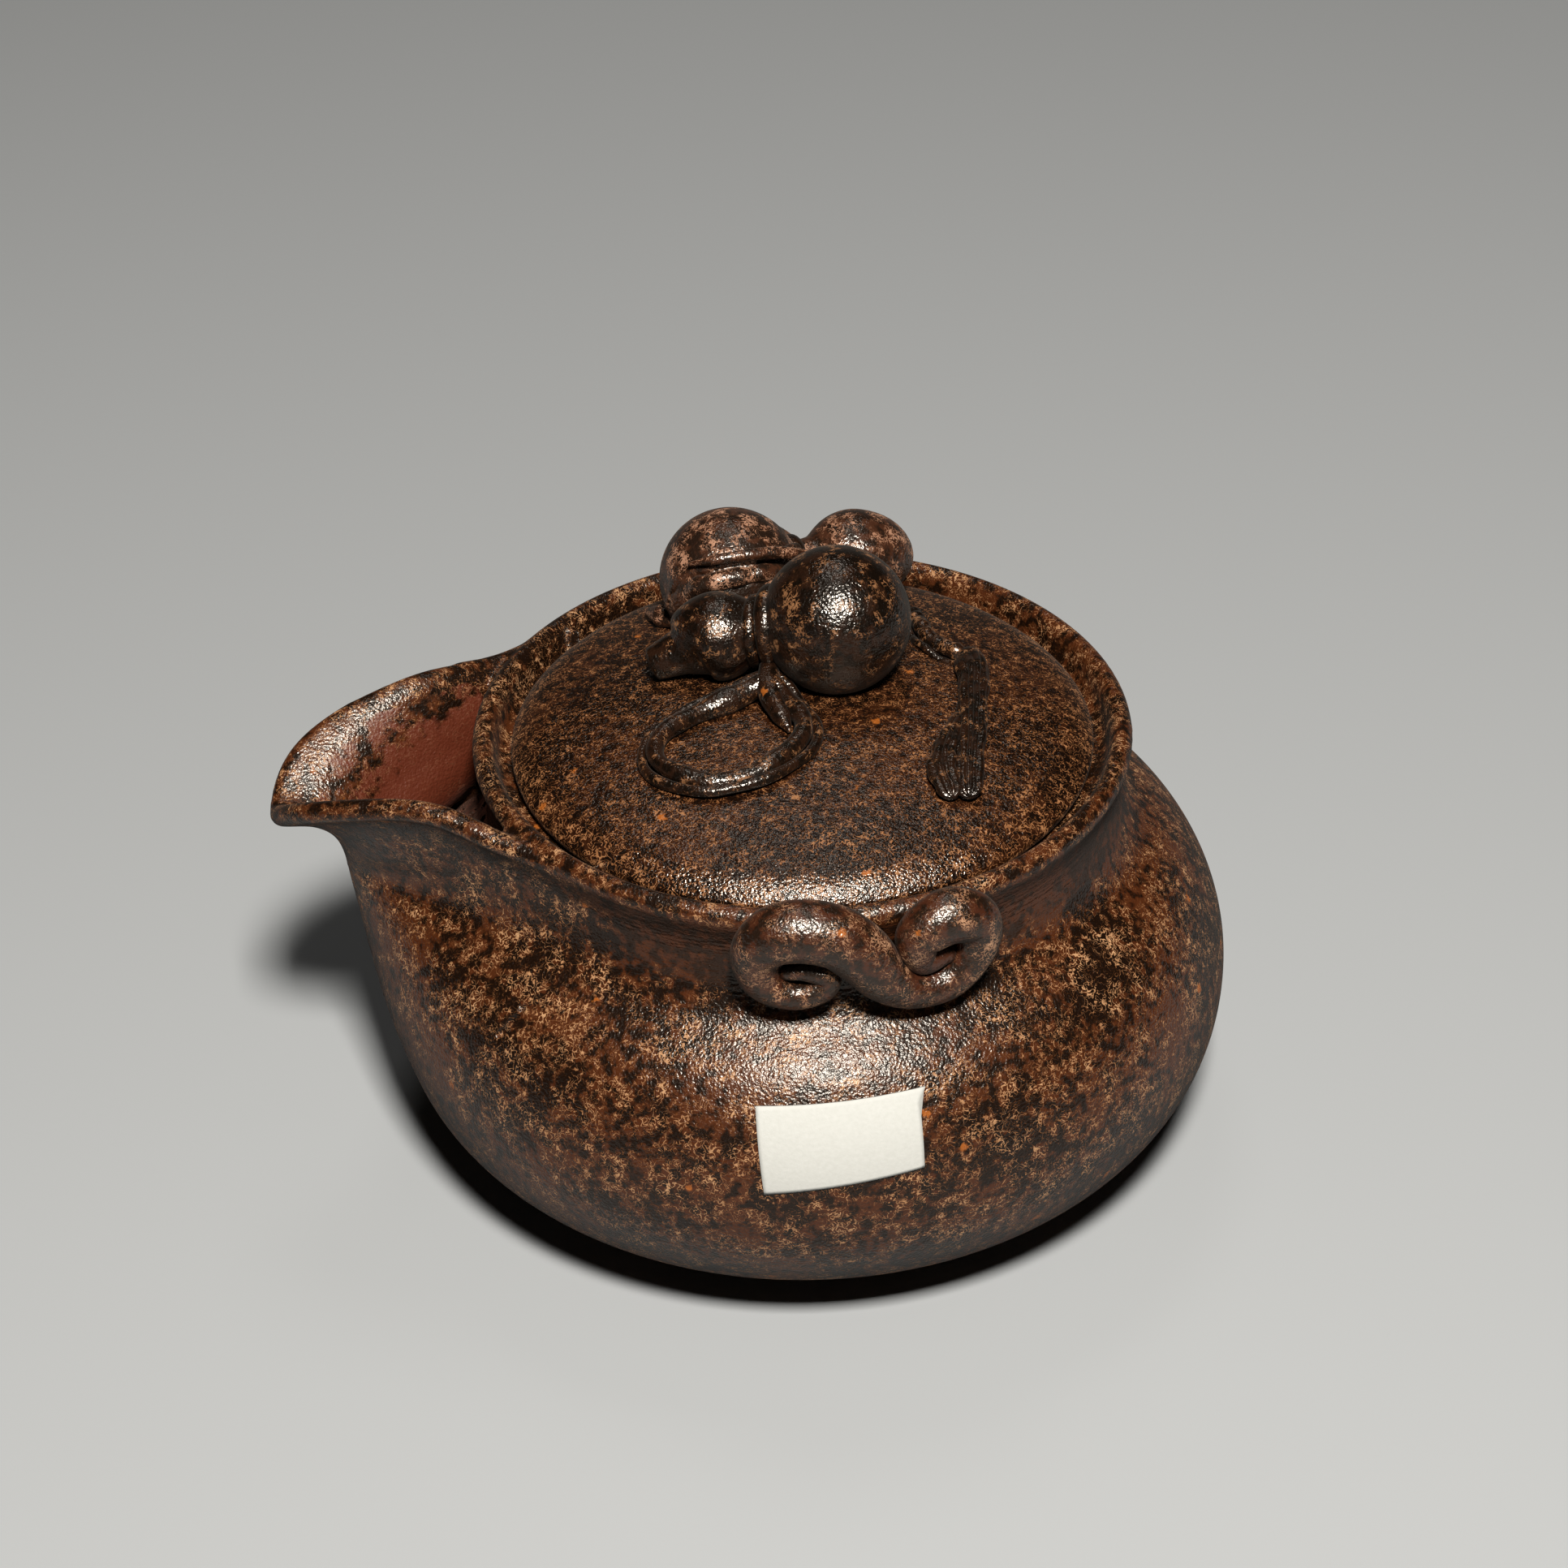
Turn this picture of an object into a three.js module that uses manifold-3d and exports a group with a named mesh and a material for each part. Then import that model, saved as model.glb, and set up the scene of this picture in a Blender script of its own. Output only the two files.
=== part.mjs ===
import * as THREE from 'three';
import { mergeVertices } from 'three/addons/utils/BufferGeometryUtils.js';
import Module from 'manifold-3d';

// A hohin: a small handleless stoneware teapot, thrown round, with a wide luted spout, a pierced
// screen behind it, two rolled scroll grips and a flat lid that carries a pair of bottle gourds.
// Millimetres, +Z up, origin at the middle of the flat base. The spout points to -X and the two
// grips sit on the -Y and +Y sides.

// Thrown bowl
const rimTop = 56.3;
const rimRadius = 39.5;
const rimBevel = 1.6;
const landWidth = 2.1;
const neckHollow = 1.8;
const neckBelowRim = 6.3;
const shoulderBelowRim = 13.3;
const bellyRadius = 51.5;
const bellyHeight = 23;
const baseRadius = 20.5;
const lowerFullness = 0.88;
const shoulderFullness = 1.06;
const shoulderTuck = 3.1;
const shoulderSweep = 70;
const neckFoot = [0.6, 4.6];
const neckHead = [0.8, 2.3];
const rimRound = 0.4;
const wall = 3.4;
const floorThickness = 3.8;
const bowlSegments = 44;

// Lid seat inside the rim
const seatBelowRim = 3.9;
const seatInset = 1.7;
const seatWidth = 4.3;
const seatThickness = 2;
const seatUndercut = 2.4;

// Pouring spout
const spoutReach = 24.8;
const spoutWall = 2.6;
const spoutHalfAngle = 14.1;
const spoutFalloff = 2.9;
const spoutFade = 45;
const spoutFadeWidth = 20;
const footSpread = 0.9;
const spoutFoot = 15;
const jointStep = 1;
const jointHalfAngle = 44;
const jointWidening = 0.3;
const ribSteps = 13;
const ribColumns = 13;

// Edge of the spout: a narrow notch at the lip, and a low crest on both sides of it
const spoutEdgeDrop = 2.5;
const lipDrop = 9.1;
const lipHalfAngle = 6.9;
const lipSharpness = 1.6;
const crestRise = 1.9;
const crestAngle = 17;
const crestSpread = 7.5;

// Front line of the spout, as distances out from the rim and below it
const spoutFront = [[13.6, 32], [15.6, 19], [16.7, 12.4], [19.2, 9.8]];

// Pierced screen behind the spout
const screenThickness = 1.7;
const screenHalfAngle = 19;
const screenBottom = 32.5;
const screenTop = 45;
const holeDiameter = 1.8;
const holePitch = 3.5;
const rowPitch = 3.05;

// Lid
const lidPlay = 0.9;
const lidEdge = 2.4;
const lidRise = 4.8;
const lidWall = 3;
const lidFullness = [2.4, 0.75];
const lidSegments = 44;
const spigotPlay = 0.7;
const spigotDepth = 3.6;
const spigotWall = 2.4;

// Scroll grips
const gripAngle = -85;
const gripStand = 2;

// Gourds on the lid
const frontGourd = {
  big: [4.8, 4.2], bigRadius: 8.9, bigStand: 0.84, waist: 2.9,
  small: [-9.2, 7.2], smallRadius: 5.2, smallStand: 0.88, stem: [-17.4, 6.8],
};
const rearGourd = {
  big: [-6.5, 19.2], bigRadius: 8.7, bigStand: 0.68, waist: 1.9,
  small: [9.2, 24], smallRadius: 6.1, smallStand: 0.86, stem: [14.6, 26.6],
};
const gourdBlend = 6;
const gourdNape = 0.62;
const stemLift = 0.6;
const waistTurns = 1.9;
const waistPitch = 2.53;
const waistPress = 0.5;
const stemRadius = 1.5;
const cordRadius = 1.1;
const strandRadius = 0.75;
const leadRadius = 0.9;
const strandSpacing = 0.9;
const threadDepth = 0.07;
const hankFlatness = 0.62;

// Paper label
const labelThickness = 0.3;
const labelTop = [[-102.9, 35.6], [-80.4, 36.3]];
const labelBottom = [[-101.5, 26.1], [-80.9, 28.1]];
const labelEar = 1.1;

// Gap that touching pieces keep, and the wider one under pieces laid on another's facets
const gap = 0.3;
const laidGap = 0.48;

const wasm = await Module();
wasm.setup();
const degrees = THREE.MathUtils.degToRad;
const group = new THREE.Group();

const clay = {
  brown: [0x3c281e, 0.55],
  rim: [0x5a4032, 0.6],
  dark: [0x2a1b15, 0.4],
  paper: [0xf1eee4, 0.9],
};

// A closed geometry becomes a solid with merged corners and its faces turned outwards.
function solidOf(geometry) {
  geometry.deleteAttribute('normal');
  geometry.deleteAttribute('uv');
  const merged = mergeVertices(geometry, 1e-4);
  const p = merged.attributes.position.array;
  const corner = (i) => new THREE.Vector3(p[3 * i], p[3 * i + 1], p[3 * i + 2]);
  let triangles = [];
  let volume = 0;
  for (let i = 0; i < merged.index.count; i += 3) {
    const [a, b, c] = [0, 1, 2].map((k) => merged.index.getX(i + k));
    if (a === b || b === c || c === a) continue;
    triangles.push([a, b, c]);
    volume += corner(a).dot(corner(b).cross(corner(c)));
  }
  if (volume < 0) triangles = triangles.map(([a, b, c]) => [a, c, b]);
  return new wasm.Manifold(new wasm.Mesh({
    numProp: 3,
    vertProperties: new Float32Array(p),
    triVerts: new Uint32Array(triangles.flat()),
  }));
}

// A named mesh goes into the group with its own material.
function addPiece(name, solid, [colour, roughness]) {
  const mesh = solid.getMesh();
  const geometry = new THREE.BufferGeometry();
  geometry.setAttribute('position', new THREE.BufferAttribute(new Float32Array(mesh.vertProperties), 3));
  geometry.setIndex(new THREE.BufferAttribute(new Uint32Array(mesh.triVerts), 1));
  geometry.computeVertexNormals();
  const material = new THREE.MeshStandardMaterial({ color: colour, roughness, metalness: 0 });
  const piece = new THREE.Mesh(geometry, material);
  piece.name = name;
  group.add(piece);
}

// Rings of equal count are skinned into a closed geometry, with flat ends or joined end to end.
function loft(rings, looped = false) {
  const sides = rings[0].length;
  const index = [];
  const spans = looped ? rings.length : rings.length - 1;
  for (let r = 0; r < spans; r++) {
    for (let s = 0; s < sides; s++) {
      const a = r * sides + s;
      const b = r * sides + (s + 1) % sides;
      const c = (r + 1) % rings.length * sides + s;
      const d = (r + 1) % rings.length * sides + (s + 1) % sides;
      const corners = [a, b, c, d].map((k) => rings[Math.floor(k / sides)][k % sides]);
      const level = corners[1].distanceTo(corners[2]) < corners[0].distanceTo(corners[3]);
      index.push(...(level ? [a, b, c, b, d, c] : [a, b, d, a, d, c]));
    }
  }
  const last = (rings.length - 1) * sides;
  for (let k = 0; !looped && k + 1 < sides - 1 - k; k++) {
    const m = sides - 1 - k;
    index.push(k, m, k + 1, last + k, last + k + 1, last + m);
    if (k + 1 < m - 1) index.push(k + 1, m, m - 1, last + k + 1, last + m - 1, last + m);
  }
  const geometry = new THREE.BufferGeometry();
  const positions = rings.flat().flatMap((p) => [p.x, p.y, p.z]);
  geometry.setAttribute('position', new THREE.BufferAttribute(new Float32Array(positions), 3));
  geometry.setIndex(index);
  return geometry;
}

// A profile of [radius, height] pairs is turned round the Z axis.
function turned(profile, segments) {
  const points = profile.map(([r, z]) => new THREE.Vector2(r, z));
  return solidOf(new THREE.LatheGeometry(points, segments).rotateX(Math.PI / 2));
}

// A profile moved inwards by a distance, square to itself.
function offsetInwards(profile, distance) {
  return profile.map(([r, z], i) => {
    const [r0, z0] = profile[Math.max(i - 1, 0)];
    const [r1, z1] = profile[Math.min(i + 1, profile.length - 1)];
    const length = Math.hypot(r1 - r0, z1 - z0);
    const moved = r - distance * (z1 - z0) / length;
    return [r === 0 ? 0 : moved, z + distance * (r1 - r0) / length];
  });
}

// Radii that follow from the rim
const landInner = rimRadius - landWidth;
const seatOuter = landInner - seatInset;
const seatInner = seatOuter - seatWidth;
const neckRadius = rimRadius - neckHollow;
const lidRadius = seatOuter - lidPlay;
const gripReach = rimRadius + gripStand;

// Body profile: a full lower curve to the belly, a rounder shoulder and a hollow neck under the rim.
const shoulderTop = rimTop - shoulderBelowRim;
const shoulderInner = neckRadius - shoulderTuck;
const lowerCurve = [];
for (let i = 0; i <= 7; i++) {
  const a = i / 7 * Math.PI / 2;
  lowerCurve.push([
    baseRadius + (bellyRadius - baseRadius) * Math.sin(a) ** lowerFullness,
    bellyHeight * (1 - Math.cos(a) ** lowerFullness),
  ]);
}
const shoulderCurve = [];
for (let i = 1; i <= 6; i++) {
  const a = i / 6 * degrees(shoulderSweep);
  shoulderCurve.push([
    shoulderInner + (bellyRadius - shoulderInner) * Math.cos(a) ** shoulderFullness,
    bellyHeight + (shoulderTop - bellyHeight) * Math.sin(a) ** shoulderFullness,
  ]);
}
const neckCurve = new THREE.SplineCurve([
  new THREE.Vector2(...shoulderCurve.at(-1)),
  new THREE.Vector2(neckRadius + neckFoot[0], rimTop - neckBelowRim - neckFoot[1]),
  new THREE.Vector2(neckRadius, rimTop - neckBelowRim),
  new THREE.Vector2(neckRadius + neckHead[0], rimTop - rimBevel - neckHead[1]),
  new THREE.Vector2(rimRadius, rimTop - rimBevel),
]).getPoints(7).slice(1).map((p) => [p.x, p.y]);
const outerProfile = [...lowerCurve, ...shoulderCurve, ...neckCurve];
const rimProfile = [
  [rimRadius - rimRound, rimTop - rimBevel / 2],
  [landInner + 2 * rimRound, rimTop],
  [landInner, rimTop - rimRound / 4],
  [landInner - rimRound, rimTop - 2 * rimRound],
  [seatOuter, rimTop - seatBelowRim],
  [seatInner, rimTop - seatBelowRim],
  [seatInner, rimTop - seatBelowRim - seatThickness],
];

// Outer radius of the bowl at a height between the belly and the rim.
function bowlRadiusAt(height) {
  const found = outerProfile.findIndex(([, z]) => z > height);
  const i = found < 0 ? outerProfile.length - 1 : found;
  const [[r0, z0], [r1, z1]] = [outerProfile[i - 1], outerProfile[i]];
  return r0 + (r1 - r0) * (height - z0) / (z1 - z0);
}

const innerProfile = offsetInwards(outerProfile, wall)
  .filter(([, z], i) => z > floorThickness && z < rimTop - seatBelowRim - seatThickness - seatUndercut && i % 2)
  .reverse();
const bowlProfile = [
  [0, 0], ...outerProfile, ...rimProfile, ...innerProfile,
  [baseRadius, floorThickness], [0, floorThickness],
];
const bowlBlank = turned(bowlProfile, bowlSegments);

// The full bowl grown by the gap, which cuts whatever is luted on to it.
const bowlKeepOut = turned([
  [0, -gap], ...offsetInwards(outerProfile, -gap),
  [rimRadius - rimRound + gap, rimTop - rimBevel / 2 + gap], [landInner + 2 * rimRound, rimTop + gap],
  [0, rimTop + gap],
], bowlSegments);

// Screen: a pierced patch of the wall, curved as the shoulder is, set into a window of the bowl.
const screenProfile = [0, 1, 2, 3].map((i) => {
  const z = screenBottom + (screenTop - screenBottom) * i / 3;
  return [bowlRadiusAt(z), z];
});
function patch(profile, outside, inside, halfAngle, columns) {
  const outer = offsetInwards(profile, outside);
  const inner = offsetInwards(profile, inside).reverse();
  const rings = [];
  for (let c = 0; c <= columns; c++) {
    const angle = Math.PI + degrees(halfAngle) * (2 * c / columns - 1);
    rings.push([...outer, ...inner].map(([r, z]) =>
      new THREE.Vector3(r * Math.cos(angle), r * Math.sin(angle), z)));
  }
  return solidOf(loft(rings));
}
const screenInset = (wall - screenThickness) / 2;
const screenBlank = patch(screenProfile, screenInset, screenInset + screenThickness, screenHalfAngle, 8);
const windowGrowth = degrees(screenHalfAngle) + gap / bowlRadiusAt(screenBottom);
const windowProfile = [
  [bowlRadiusAt(screenBottom - gap), screenBottom - gap],
  ...screenProfile.slice(1, -1),
  [bowlRadiusAt(screenTop + gap), screenTop + gap],
];
const windowCut = patch(windowProfile, -wall, 2 * wall, THREE.MathUtils.radToDeg(windowGrowth), 8);

function screenHoles() {
  const holes = [];
  const slope = new THREE.SplineCurve(screenProfile.map(([r, z]) => new THREE.Vector2(r, z)));
  const rows = Math.floor((slope.getLength() - holePitch) / rowPitch);
  for (let row = 0; row <= rows; row++) {
    const t = 0.5 + (row - rows / 2) * rowPitch / slope.getLength();
    const at = slope.getPointAt(t);
    const along = slope.getTangentAt(t);
    const step = holePitch / at.x;
    const columns = Math.floor((degrees(screenHalfAngle) * 2 - step) / step) - row % 2;
    for (let c = 0; c <= columns; c++) {
      const angle = Math.PI + (c - columns / 2) * step;
      const outward = new THREE.Vector3(along.y * Math.cos(angle), along.y * Math.sin(angle), -along.x);
      const middle = new THREE.Vector3(at.x * Math.cos(angle), at.x * Math.sin(angle), at.y);
      const hole = new THREE.CylinderGeometry(holeDiameter / 2, holeDiameter / 2, 4 * wall, 6);
      hole.applyQuaternion(new THREE.Quaternion().setFromUnitVectors(new THREE.Vector3(0, 1, 0), outward));
      hole.translate(middle.x, middle.y, middle.z);
      holes.push(solidOf(hole));
    }
  }
  return holes;
}

addPiece('thrown_bowl', bowlBlank.subtract(windowCut), clay.brown);
addPiece('strainer_screen', screenHoles().reduce((s, hole) => s.subtract(hole), screenBlank), clay.rim);

// Spout: a sheet that stands away from the bowl by a share of its reach. The share falls off on
// both sides of the middle, faster at the lip than at the foot.
function share(angle) {
  const fade = THREE.MathUtils.smoothstep(spoutFade - angle, 0, spoutFadeWidth);
  return fade / (1 + (angle / spoutHalfAngle) ** spoutFalloff);
}
const lipOuter = rimRadius + spoutReach - spoutWall / 2;
const frontCurve = new THREE.SplineCurve([
  new THREE.Vector2(bowlRadiusAt(spoutFoot), spoutFoot),
  ...spoutFront.map(([out, below]) => new THREE.Vector2(rimRadius + out, rimTop - below)),
  new THREE.Vector2(lipOuter, rimTop - lipDrop),
]);
function riseAt(step) {
  return (frontCurve.getPointAt(step / ribSteps).y - spoutFoot) / (rimTop - lipDrop - spoutFoot);
}
function standAt(angle, step) {
  const front = frontCurve.getPointAt(step / ribSteps);
  const spread = 1 + footSpread * (1 - riseAt(step));
  return (front.x - bowlRadiusAt(front.y)) * share(Math.abs(angle) / spread);
}
function spoutPoint(angle, step, tuck = 0) {
  const a = Math.abs(angle);
  const rise = riseAt(step);
  const edge = rimTop - spoutEdgeDrop + crestRise * Math.exp(-(((a - crestAngle) / crestSpread) ** 2))
    - (lipDrop - spoutEdgeDrop) * Math.exp(-((a / lipHalfAngle) ** lipSharpness));
  const z = spoutFoot + (edge - spoutFoot) * rise;
  const r = bowlRadiusAt(z) + Math.hypot(standAt(angle, step), jointStep) - tuck;
  const turn = Math.PI + degrees(angle);
  return new THREE.Vector3(r * Math.cos(turn), r * Math.sin(turn), z);
}
// The sheet ends in a low step on the bowl, along an outline that widens from the foot to the rim.
function jointAngle(step) {
  return jointHalfAngle * Math.max(riseAt(step), 1 / ribSteps ** 2) ** jointWidening;
}
function spoutSheet() {
  const rings = [];
  for (let c = -ribColumns; c <= ribColumns; c++) {
    const outer = [];
    const inner = [];
    for (let step = 0; step <= ribSteps; step++) {
      const angle = jointAngle(step) * c / ribColumns;
      const tuck = step === 0 || Math.abs(c) === ribColumns ? 3 * jointStep : 0;
      const p = spoutPoint(angle, step, tuck);
      const across = spoutPoint(angle + 0.5, step).sub(spoutPoint(angle - 0.5, step));
      const up = spoutPoint(angle, Math.min(step + 0.5, ribSteps))
        .sub(spoutPoint(angle, Math.max(step - 0.5, 0)));
      const inward = up.cross(across).normalize().multiplyScalar(spoutWall);
      outer.push(p);
      inner.push(p.clone().add(inward));
    }
    const end = outer[ribSteps];
    const middle = end.clone().lerp(inner[ribSteps], 0.5);
    const lip = end.clone().sub(outer[ribSteps - 1]).normalize().multiplyScalar(spoutWall / 2);
    const crest = [45, 90, 135].map((turn) => middle.clone()
      .addScaledVector(end.clone().sub(middle), Math.cos(degrees(turn)))
      .addScaledVector(lip, Math.sin(degrees(turn))));
    rings.push([...outer, ...crest, ...inner.reverse()]);
  }
  return solidOf(loft(rings));
}
addPiece('pouring_spout', spoutSheet().subtract(bowlKeepOut), clay.brown);

// A section is swept along a curve. The rings narrow to rounded ends, unless the curve is closed.
const upwards = () => new THREE.Vector3(0, 0, 1);
function swept(curve, radiusAt, { steps, sides, outline = () => 1, facing = upwards }) {
  const length = curve.getLength();
  const stations = [];
  if (curve.closed) {
    for (let i = 0; i < steps; i++) stations.push([i / steps, 1]);
  } else {
    const ends = [10, 35, 65].map(degrees).map((turn) => [1 - Math.cos(turn), Math.sin(turn)]);
    const [first, last] = [radiusAt(0) / length, radiusAt(1) / length];
    stations.push(...ends.map(([along, size]) => [along * first, size]));
    for (let i = 0; i <= steps; i++) stations.push([first + (1 - first - last) * i / steps, 1]);
    stations.push(...ends.reverse().map(([along, size]) => [1 - along * last, size]));
  }
  const rings = stations.map(([t, size]) => {
    const at = curve.getPointAt(t);
    const tangent = curve.getTangentAt(t);
    const face = facing(at).clone();
    face.addScaledVector(tangent, -face.dot(tangent)).normalize();
    const side = tangent.clone().cross(face);
    const ring = [];
    for (let s = 0; s < sides; s++) {
      const turn = 2 * Math.PI * s / sides;
      const r = radiusAt(t) * size * outline(turn, t);
      ring.push(at.clone()
        .addScaledVector(side, r * Math.cos(turn))
        .addScaledVector(face, r * Math.sin(turn)));
    }
    return ring;
  });
  return solidOf(loft(rings, curve.closed));
}

// Radii given at even stations along a curve, joined smoothly.
function radiiAlong(radii) {
  const line = new THREE.SplineCurve(radii.map((r, i) => new THREE.Vector2(i, r)));
  return (t) => line.getPoint(t).y;
}

// Scroll grips: a rolled clay coil, fat in the middle, curled in at both ends, luted under the rim.
// Each station is the place along the rim, the depth under the rim and the coil's radius.
const scroll = [
  [-9.8, 6.1, 0.9], [-7.7, 5.9, 1.2], [-5.4, 6.7, 1.5], [-5.9, 8.4, 1.6], [-9.1, 9.3, 1.7],
  [-12.4, 7.5, 2.3], [-13.3, 3.9, 2.9], [-11.2, 1.1, 3.4], [-7.8, 0.4, 3.6], [-4.1, 1.5, 3.6],
  [-1.3, 4.2, 3.5], [1.1, 7.6, 3], [4.3, 9.9, 2.4], [8.8, 9.9, 2.3], [12, 6.5, 2.6],
  [12, 2.7, 3], [8.7, 1.1, 3.2], [5.2, 3, 2.7], [5.7, 6.1, 1.9], [8.4, 6.2, 1.2],
];
function scrollGrip(side) {
  const points = scroll.map(([along, below]) => {
    const turn = side * (degrees(gripAngle) + along / gripReach);
    return new THREE.Vector3(gripReach * Math.cos(turn), gripReach * Math.sin(turn), rimTop - below);
  });
  const curve = new THREE.CatmullRomCurve3(points, false, 'centripetal');
  const radii = radiiAlong(scroll.map(([, , r]) => r));
  const coil = swept(curve, (t) => radii(curve.getUtoTmapping(t)), {
    steps: 36,
    sides: 8,
    facing: (at) => new THREE.Vector3(at.x, at.y, 0),
  });
  return coil.subtract(bowlKeepOut);
}
addPiece('front_grip', scrollGrip(1), clay.dark);
addPiece('rear_grip', scrollGrip(-1), clay.dark);

// Lid: a low dome with a rolled edge and a spigot ring that keeps it centred in the seat.
const lidUnderside = rimTop - seatBelowRim + gap;
const lidEdgeTop = lidUnderside + lidEdge;
function lidTopAt(x, y) {
  const share = Math.min(Math.hypot(x, y) / lidRadius, 1);
  return lidEdgeTop + lidRise * (1 - share ** lidFullness[0]) ** lidFullness[1];
}
const domeRadii = [0, 0.25, 0.45, 0.62, 0.76, 0.86, 0.93, 0.98].map((k) => k * lidRadius);
const dome = domeRadii.map((r) => [r, lidTopAt(r, 0)]);
const spigotOuter = seatInner - spigotPlay;
const spigotInner = spigotOuter - spigotWall;
const lidProfile = [
  ...dome,
  [lidRadius, lidEdgeTop - lidEdge / 8],
  [lidRadius, lidUnderside + lidEdge / 4],
  [lidRadius - lidEdge / 4, lidUnderside],
  [spigotOuter, lidUnderside],
  [spigotOuter - gap, lidUnderside - spigotDepth],
  [spigotInner + gap, lidUnderside - spigotDepth],
  [spigotInner, lidUnderside],
  [lidRadius * 0.6, lidTopAt(lidRadius * 0.6, 0) - lidWall],
  [lidRadius * 0.3, lidTopAt(lidRadius * 0.3, 0) - lidWall],
  [0, lidTopAt(0, 0) - lidWall],
];
addPiece('lid_plate', turned(lidProfile, lidSegments), clay.brown);
const lidKeepOut = turned([
  ...offsetInwards(dome, gap), [lidRadius + gap, lidEdgeTop], [lidRadius + gap, lidUnderside - spigotDepth],
  [0, lidUnderside - spigotDepth],
], lidSegments);

// A gourd: two bulbs and a blunt stem along one bent axis.
function gourd({ big, bigRadius, bigStand, small, smallRadius, smallStand, stem }) {
  const bigAt = new THREE.Vector3(...big, lidTopAt(...big) + bigRadius * bigStand);
  const smallAt = new THREE.Vector3(...small, lidTopAt(...small) + smallRadius * smallStand);
  const stemAt = new THREE.Vector3(...stem, lidTopAt(...stem) + stemRadius + stemLift);
  const spine = bigAt.clone().sub(smallAt).normalize();
  const curve = new THREE.CatmullRomCurve3([
    bigAt.clone().addScaledVector(spine, bigRadius), bigAt, smallAt,
    smallAt.clone().lerp(stemAt, 0.5), stemAt,
  ], false, 'centripetal');
  return { bigAt, smallAt, curve };
}
function gourdSolid(shape, growth = 0) {
  const { bigAt, smallAt, curve } = gourd(shape);
  const length = curve.getLength();
  const bigPlace = shape.bigRadius;
  const smallPlace = shape.bigRadius + bigAt.distanceTo(smallAt);
  const bulb = (place, middle, radius) => Math.sqrt(Math.max(radius ** 2 - (place - middle) ** 2, 0));
  const radiusAt = (t) => {
    const place = t * length;
    const beyond = (place - smallPlace) / (length - smallPlace);
    const stemAtPlace = THREE.MathUtils.lerp(shape.smallRadius * gourdNape, stemRadius, beyond);
    const sizes = [
      bulb(place, bigPlace, shape.bigRadius),
      bulb(place, smallPlace, shape.smallRadius),
      beyond > 0 ? stemAtPlace : place > bigPlace ? shape.waist : 0,
    ];
    return sizes.reduce((sum, r) => sum + r ** gourdBlend, 0) ** (1 / gourdBlend);
  };
  const rings = [];
  const [steps, sides] = [20, 12];
  for (let i = 0; i <= steps; i++) {
    const t = Math.max(i, 0.08) / steps;
    const at = curve.getPointAt(t);
    const tangent = curve.getTangentAt(t);
    const face = new THREE.Vector3(0, 0, 1).addScaledVector(tangent, -tangent.z).normalize();
    const side = tangent.clone().cross(face);
    const ring = [];
    for (let s = 0; s < sides; s++) {
      const turn = 2 * Math.PI * s / sides;
      const r = radiusAt(t) + growth;
      ring.push(at.clone()
        .addScaledVector(side, r * Math.cos(turn))
        .addScaledVector(face, r * Math.sin(turn)));
    }
    rings.push(ring);
  }
  return solidOf(loft(rings));
}
// Waist cord: two turns of a thin clay cord wound round the waist between the bulbs.
function waistCord(shape, growth = 0) {
  const { bigAt, smallAt } = gourd(shape);
  const axis = smallAt.clone().sub(bigAt).normalize();
  const up = new THREE.Vector3(0, 0, 1).addScaledVector(axis, -axis.z).normalize();
  const side = axis.clone().cross(up);
  const waist = (bigAt.distanceTo(smallAt) + shape.bigRadius - shape.smallRadius) / 2;
  const reach = shape.waist + gap + cordRadius + waistPress;
  const steps = 26;
  const points = [];
  for (let i = 0; i <= steps; i++) {
    const turn = 2 * Math.PI * waistTurns * (i / steps - 0.5);
    points.push(bigAt.clone()
      .addScaledVector(axis, waist + waistPitch * turn / (2 * Math.PI))
      .addScaledVector(up, -reach * Math.cos(turn))
      .addScaledVector(side, reach * Math.sin(turn)));
  }
  const curve = new THREE.CatmullRomCurve3(points);
  return swept(curve, () => cordRadius + growth, { steps, sides: 7, facing: () => axis });
}
const frontGroove = waistCord(frontGourd, gap);
const rearGroove = waistCord(rearGourd, gap);
const frontKeepOut = gourdSolid(frontGourd, gap).add(frontGroove).add(lidKeepOut);
const rearKeepOut = gourdSolid(rearGourd, gap).add(rearGroove).add(frontKeepOut);
addPiece('front_gourd', gourdSolid(frontGourd).subtract(frontGroove).subtract(lidKeepOut), clay.dark);
addPiece('rear_gourd', gourdSolid(rearGourd).subtract(rearGroove).subtract(frontKeepOut), clay.dark);
addPiece('front_waist_cord', waistCord(frontGourd).subtract(lidKeepOut), clay.dark);
addPiece('rear_waist_cord', waistCord(rearGourd).subtract(frontKeepOut), clay.dark);

// Strands laid on the lid follow its dome. Two cords side by side share one hollow-waisted outline.
function laidCurve(route, lift, looped = false) {
  const points = route.map(([x, y]) => new THREE.Vector3(x, y, lidTopAt(x, y) + gap + lift));
  return new THREE.CatmullRomCurve3(points, looped, 'centripetal');
}
const pairOutline = (turn) =>
  strandSpacing * Math.abs(Math.cos(turn)) + Math.sqrt(1 - (strandSpacing * Math.sin(turn)) ** 2);
const loopRoute = [
  [-4.6, 0.4], [-8.8, -1.1], [-13.4, -3.3], [-17.4, -6.2], [-18.8, -10.2], [-17.2, -14], [-12.5, -17.2],
  [-7.2, -16.6], [-3.4, -14.2], [-0.6, -10.8], [0, -7.2], [-1.2, -3.4], [-2.6, -0.8],
];
const cordLoop = (growth) => swept(laidCurve(loopRoute, cordRadius, true), () => cordRadius + growth, {
  steps: 40, sides: 10, outline: pairOutline,
});
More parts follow.
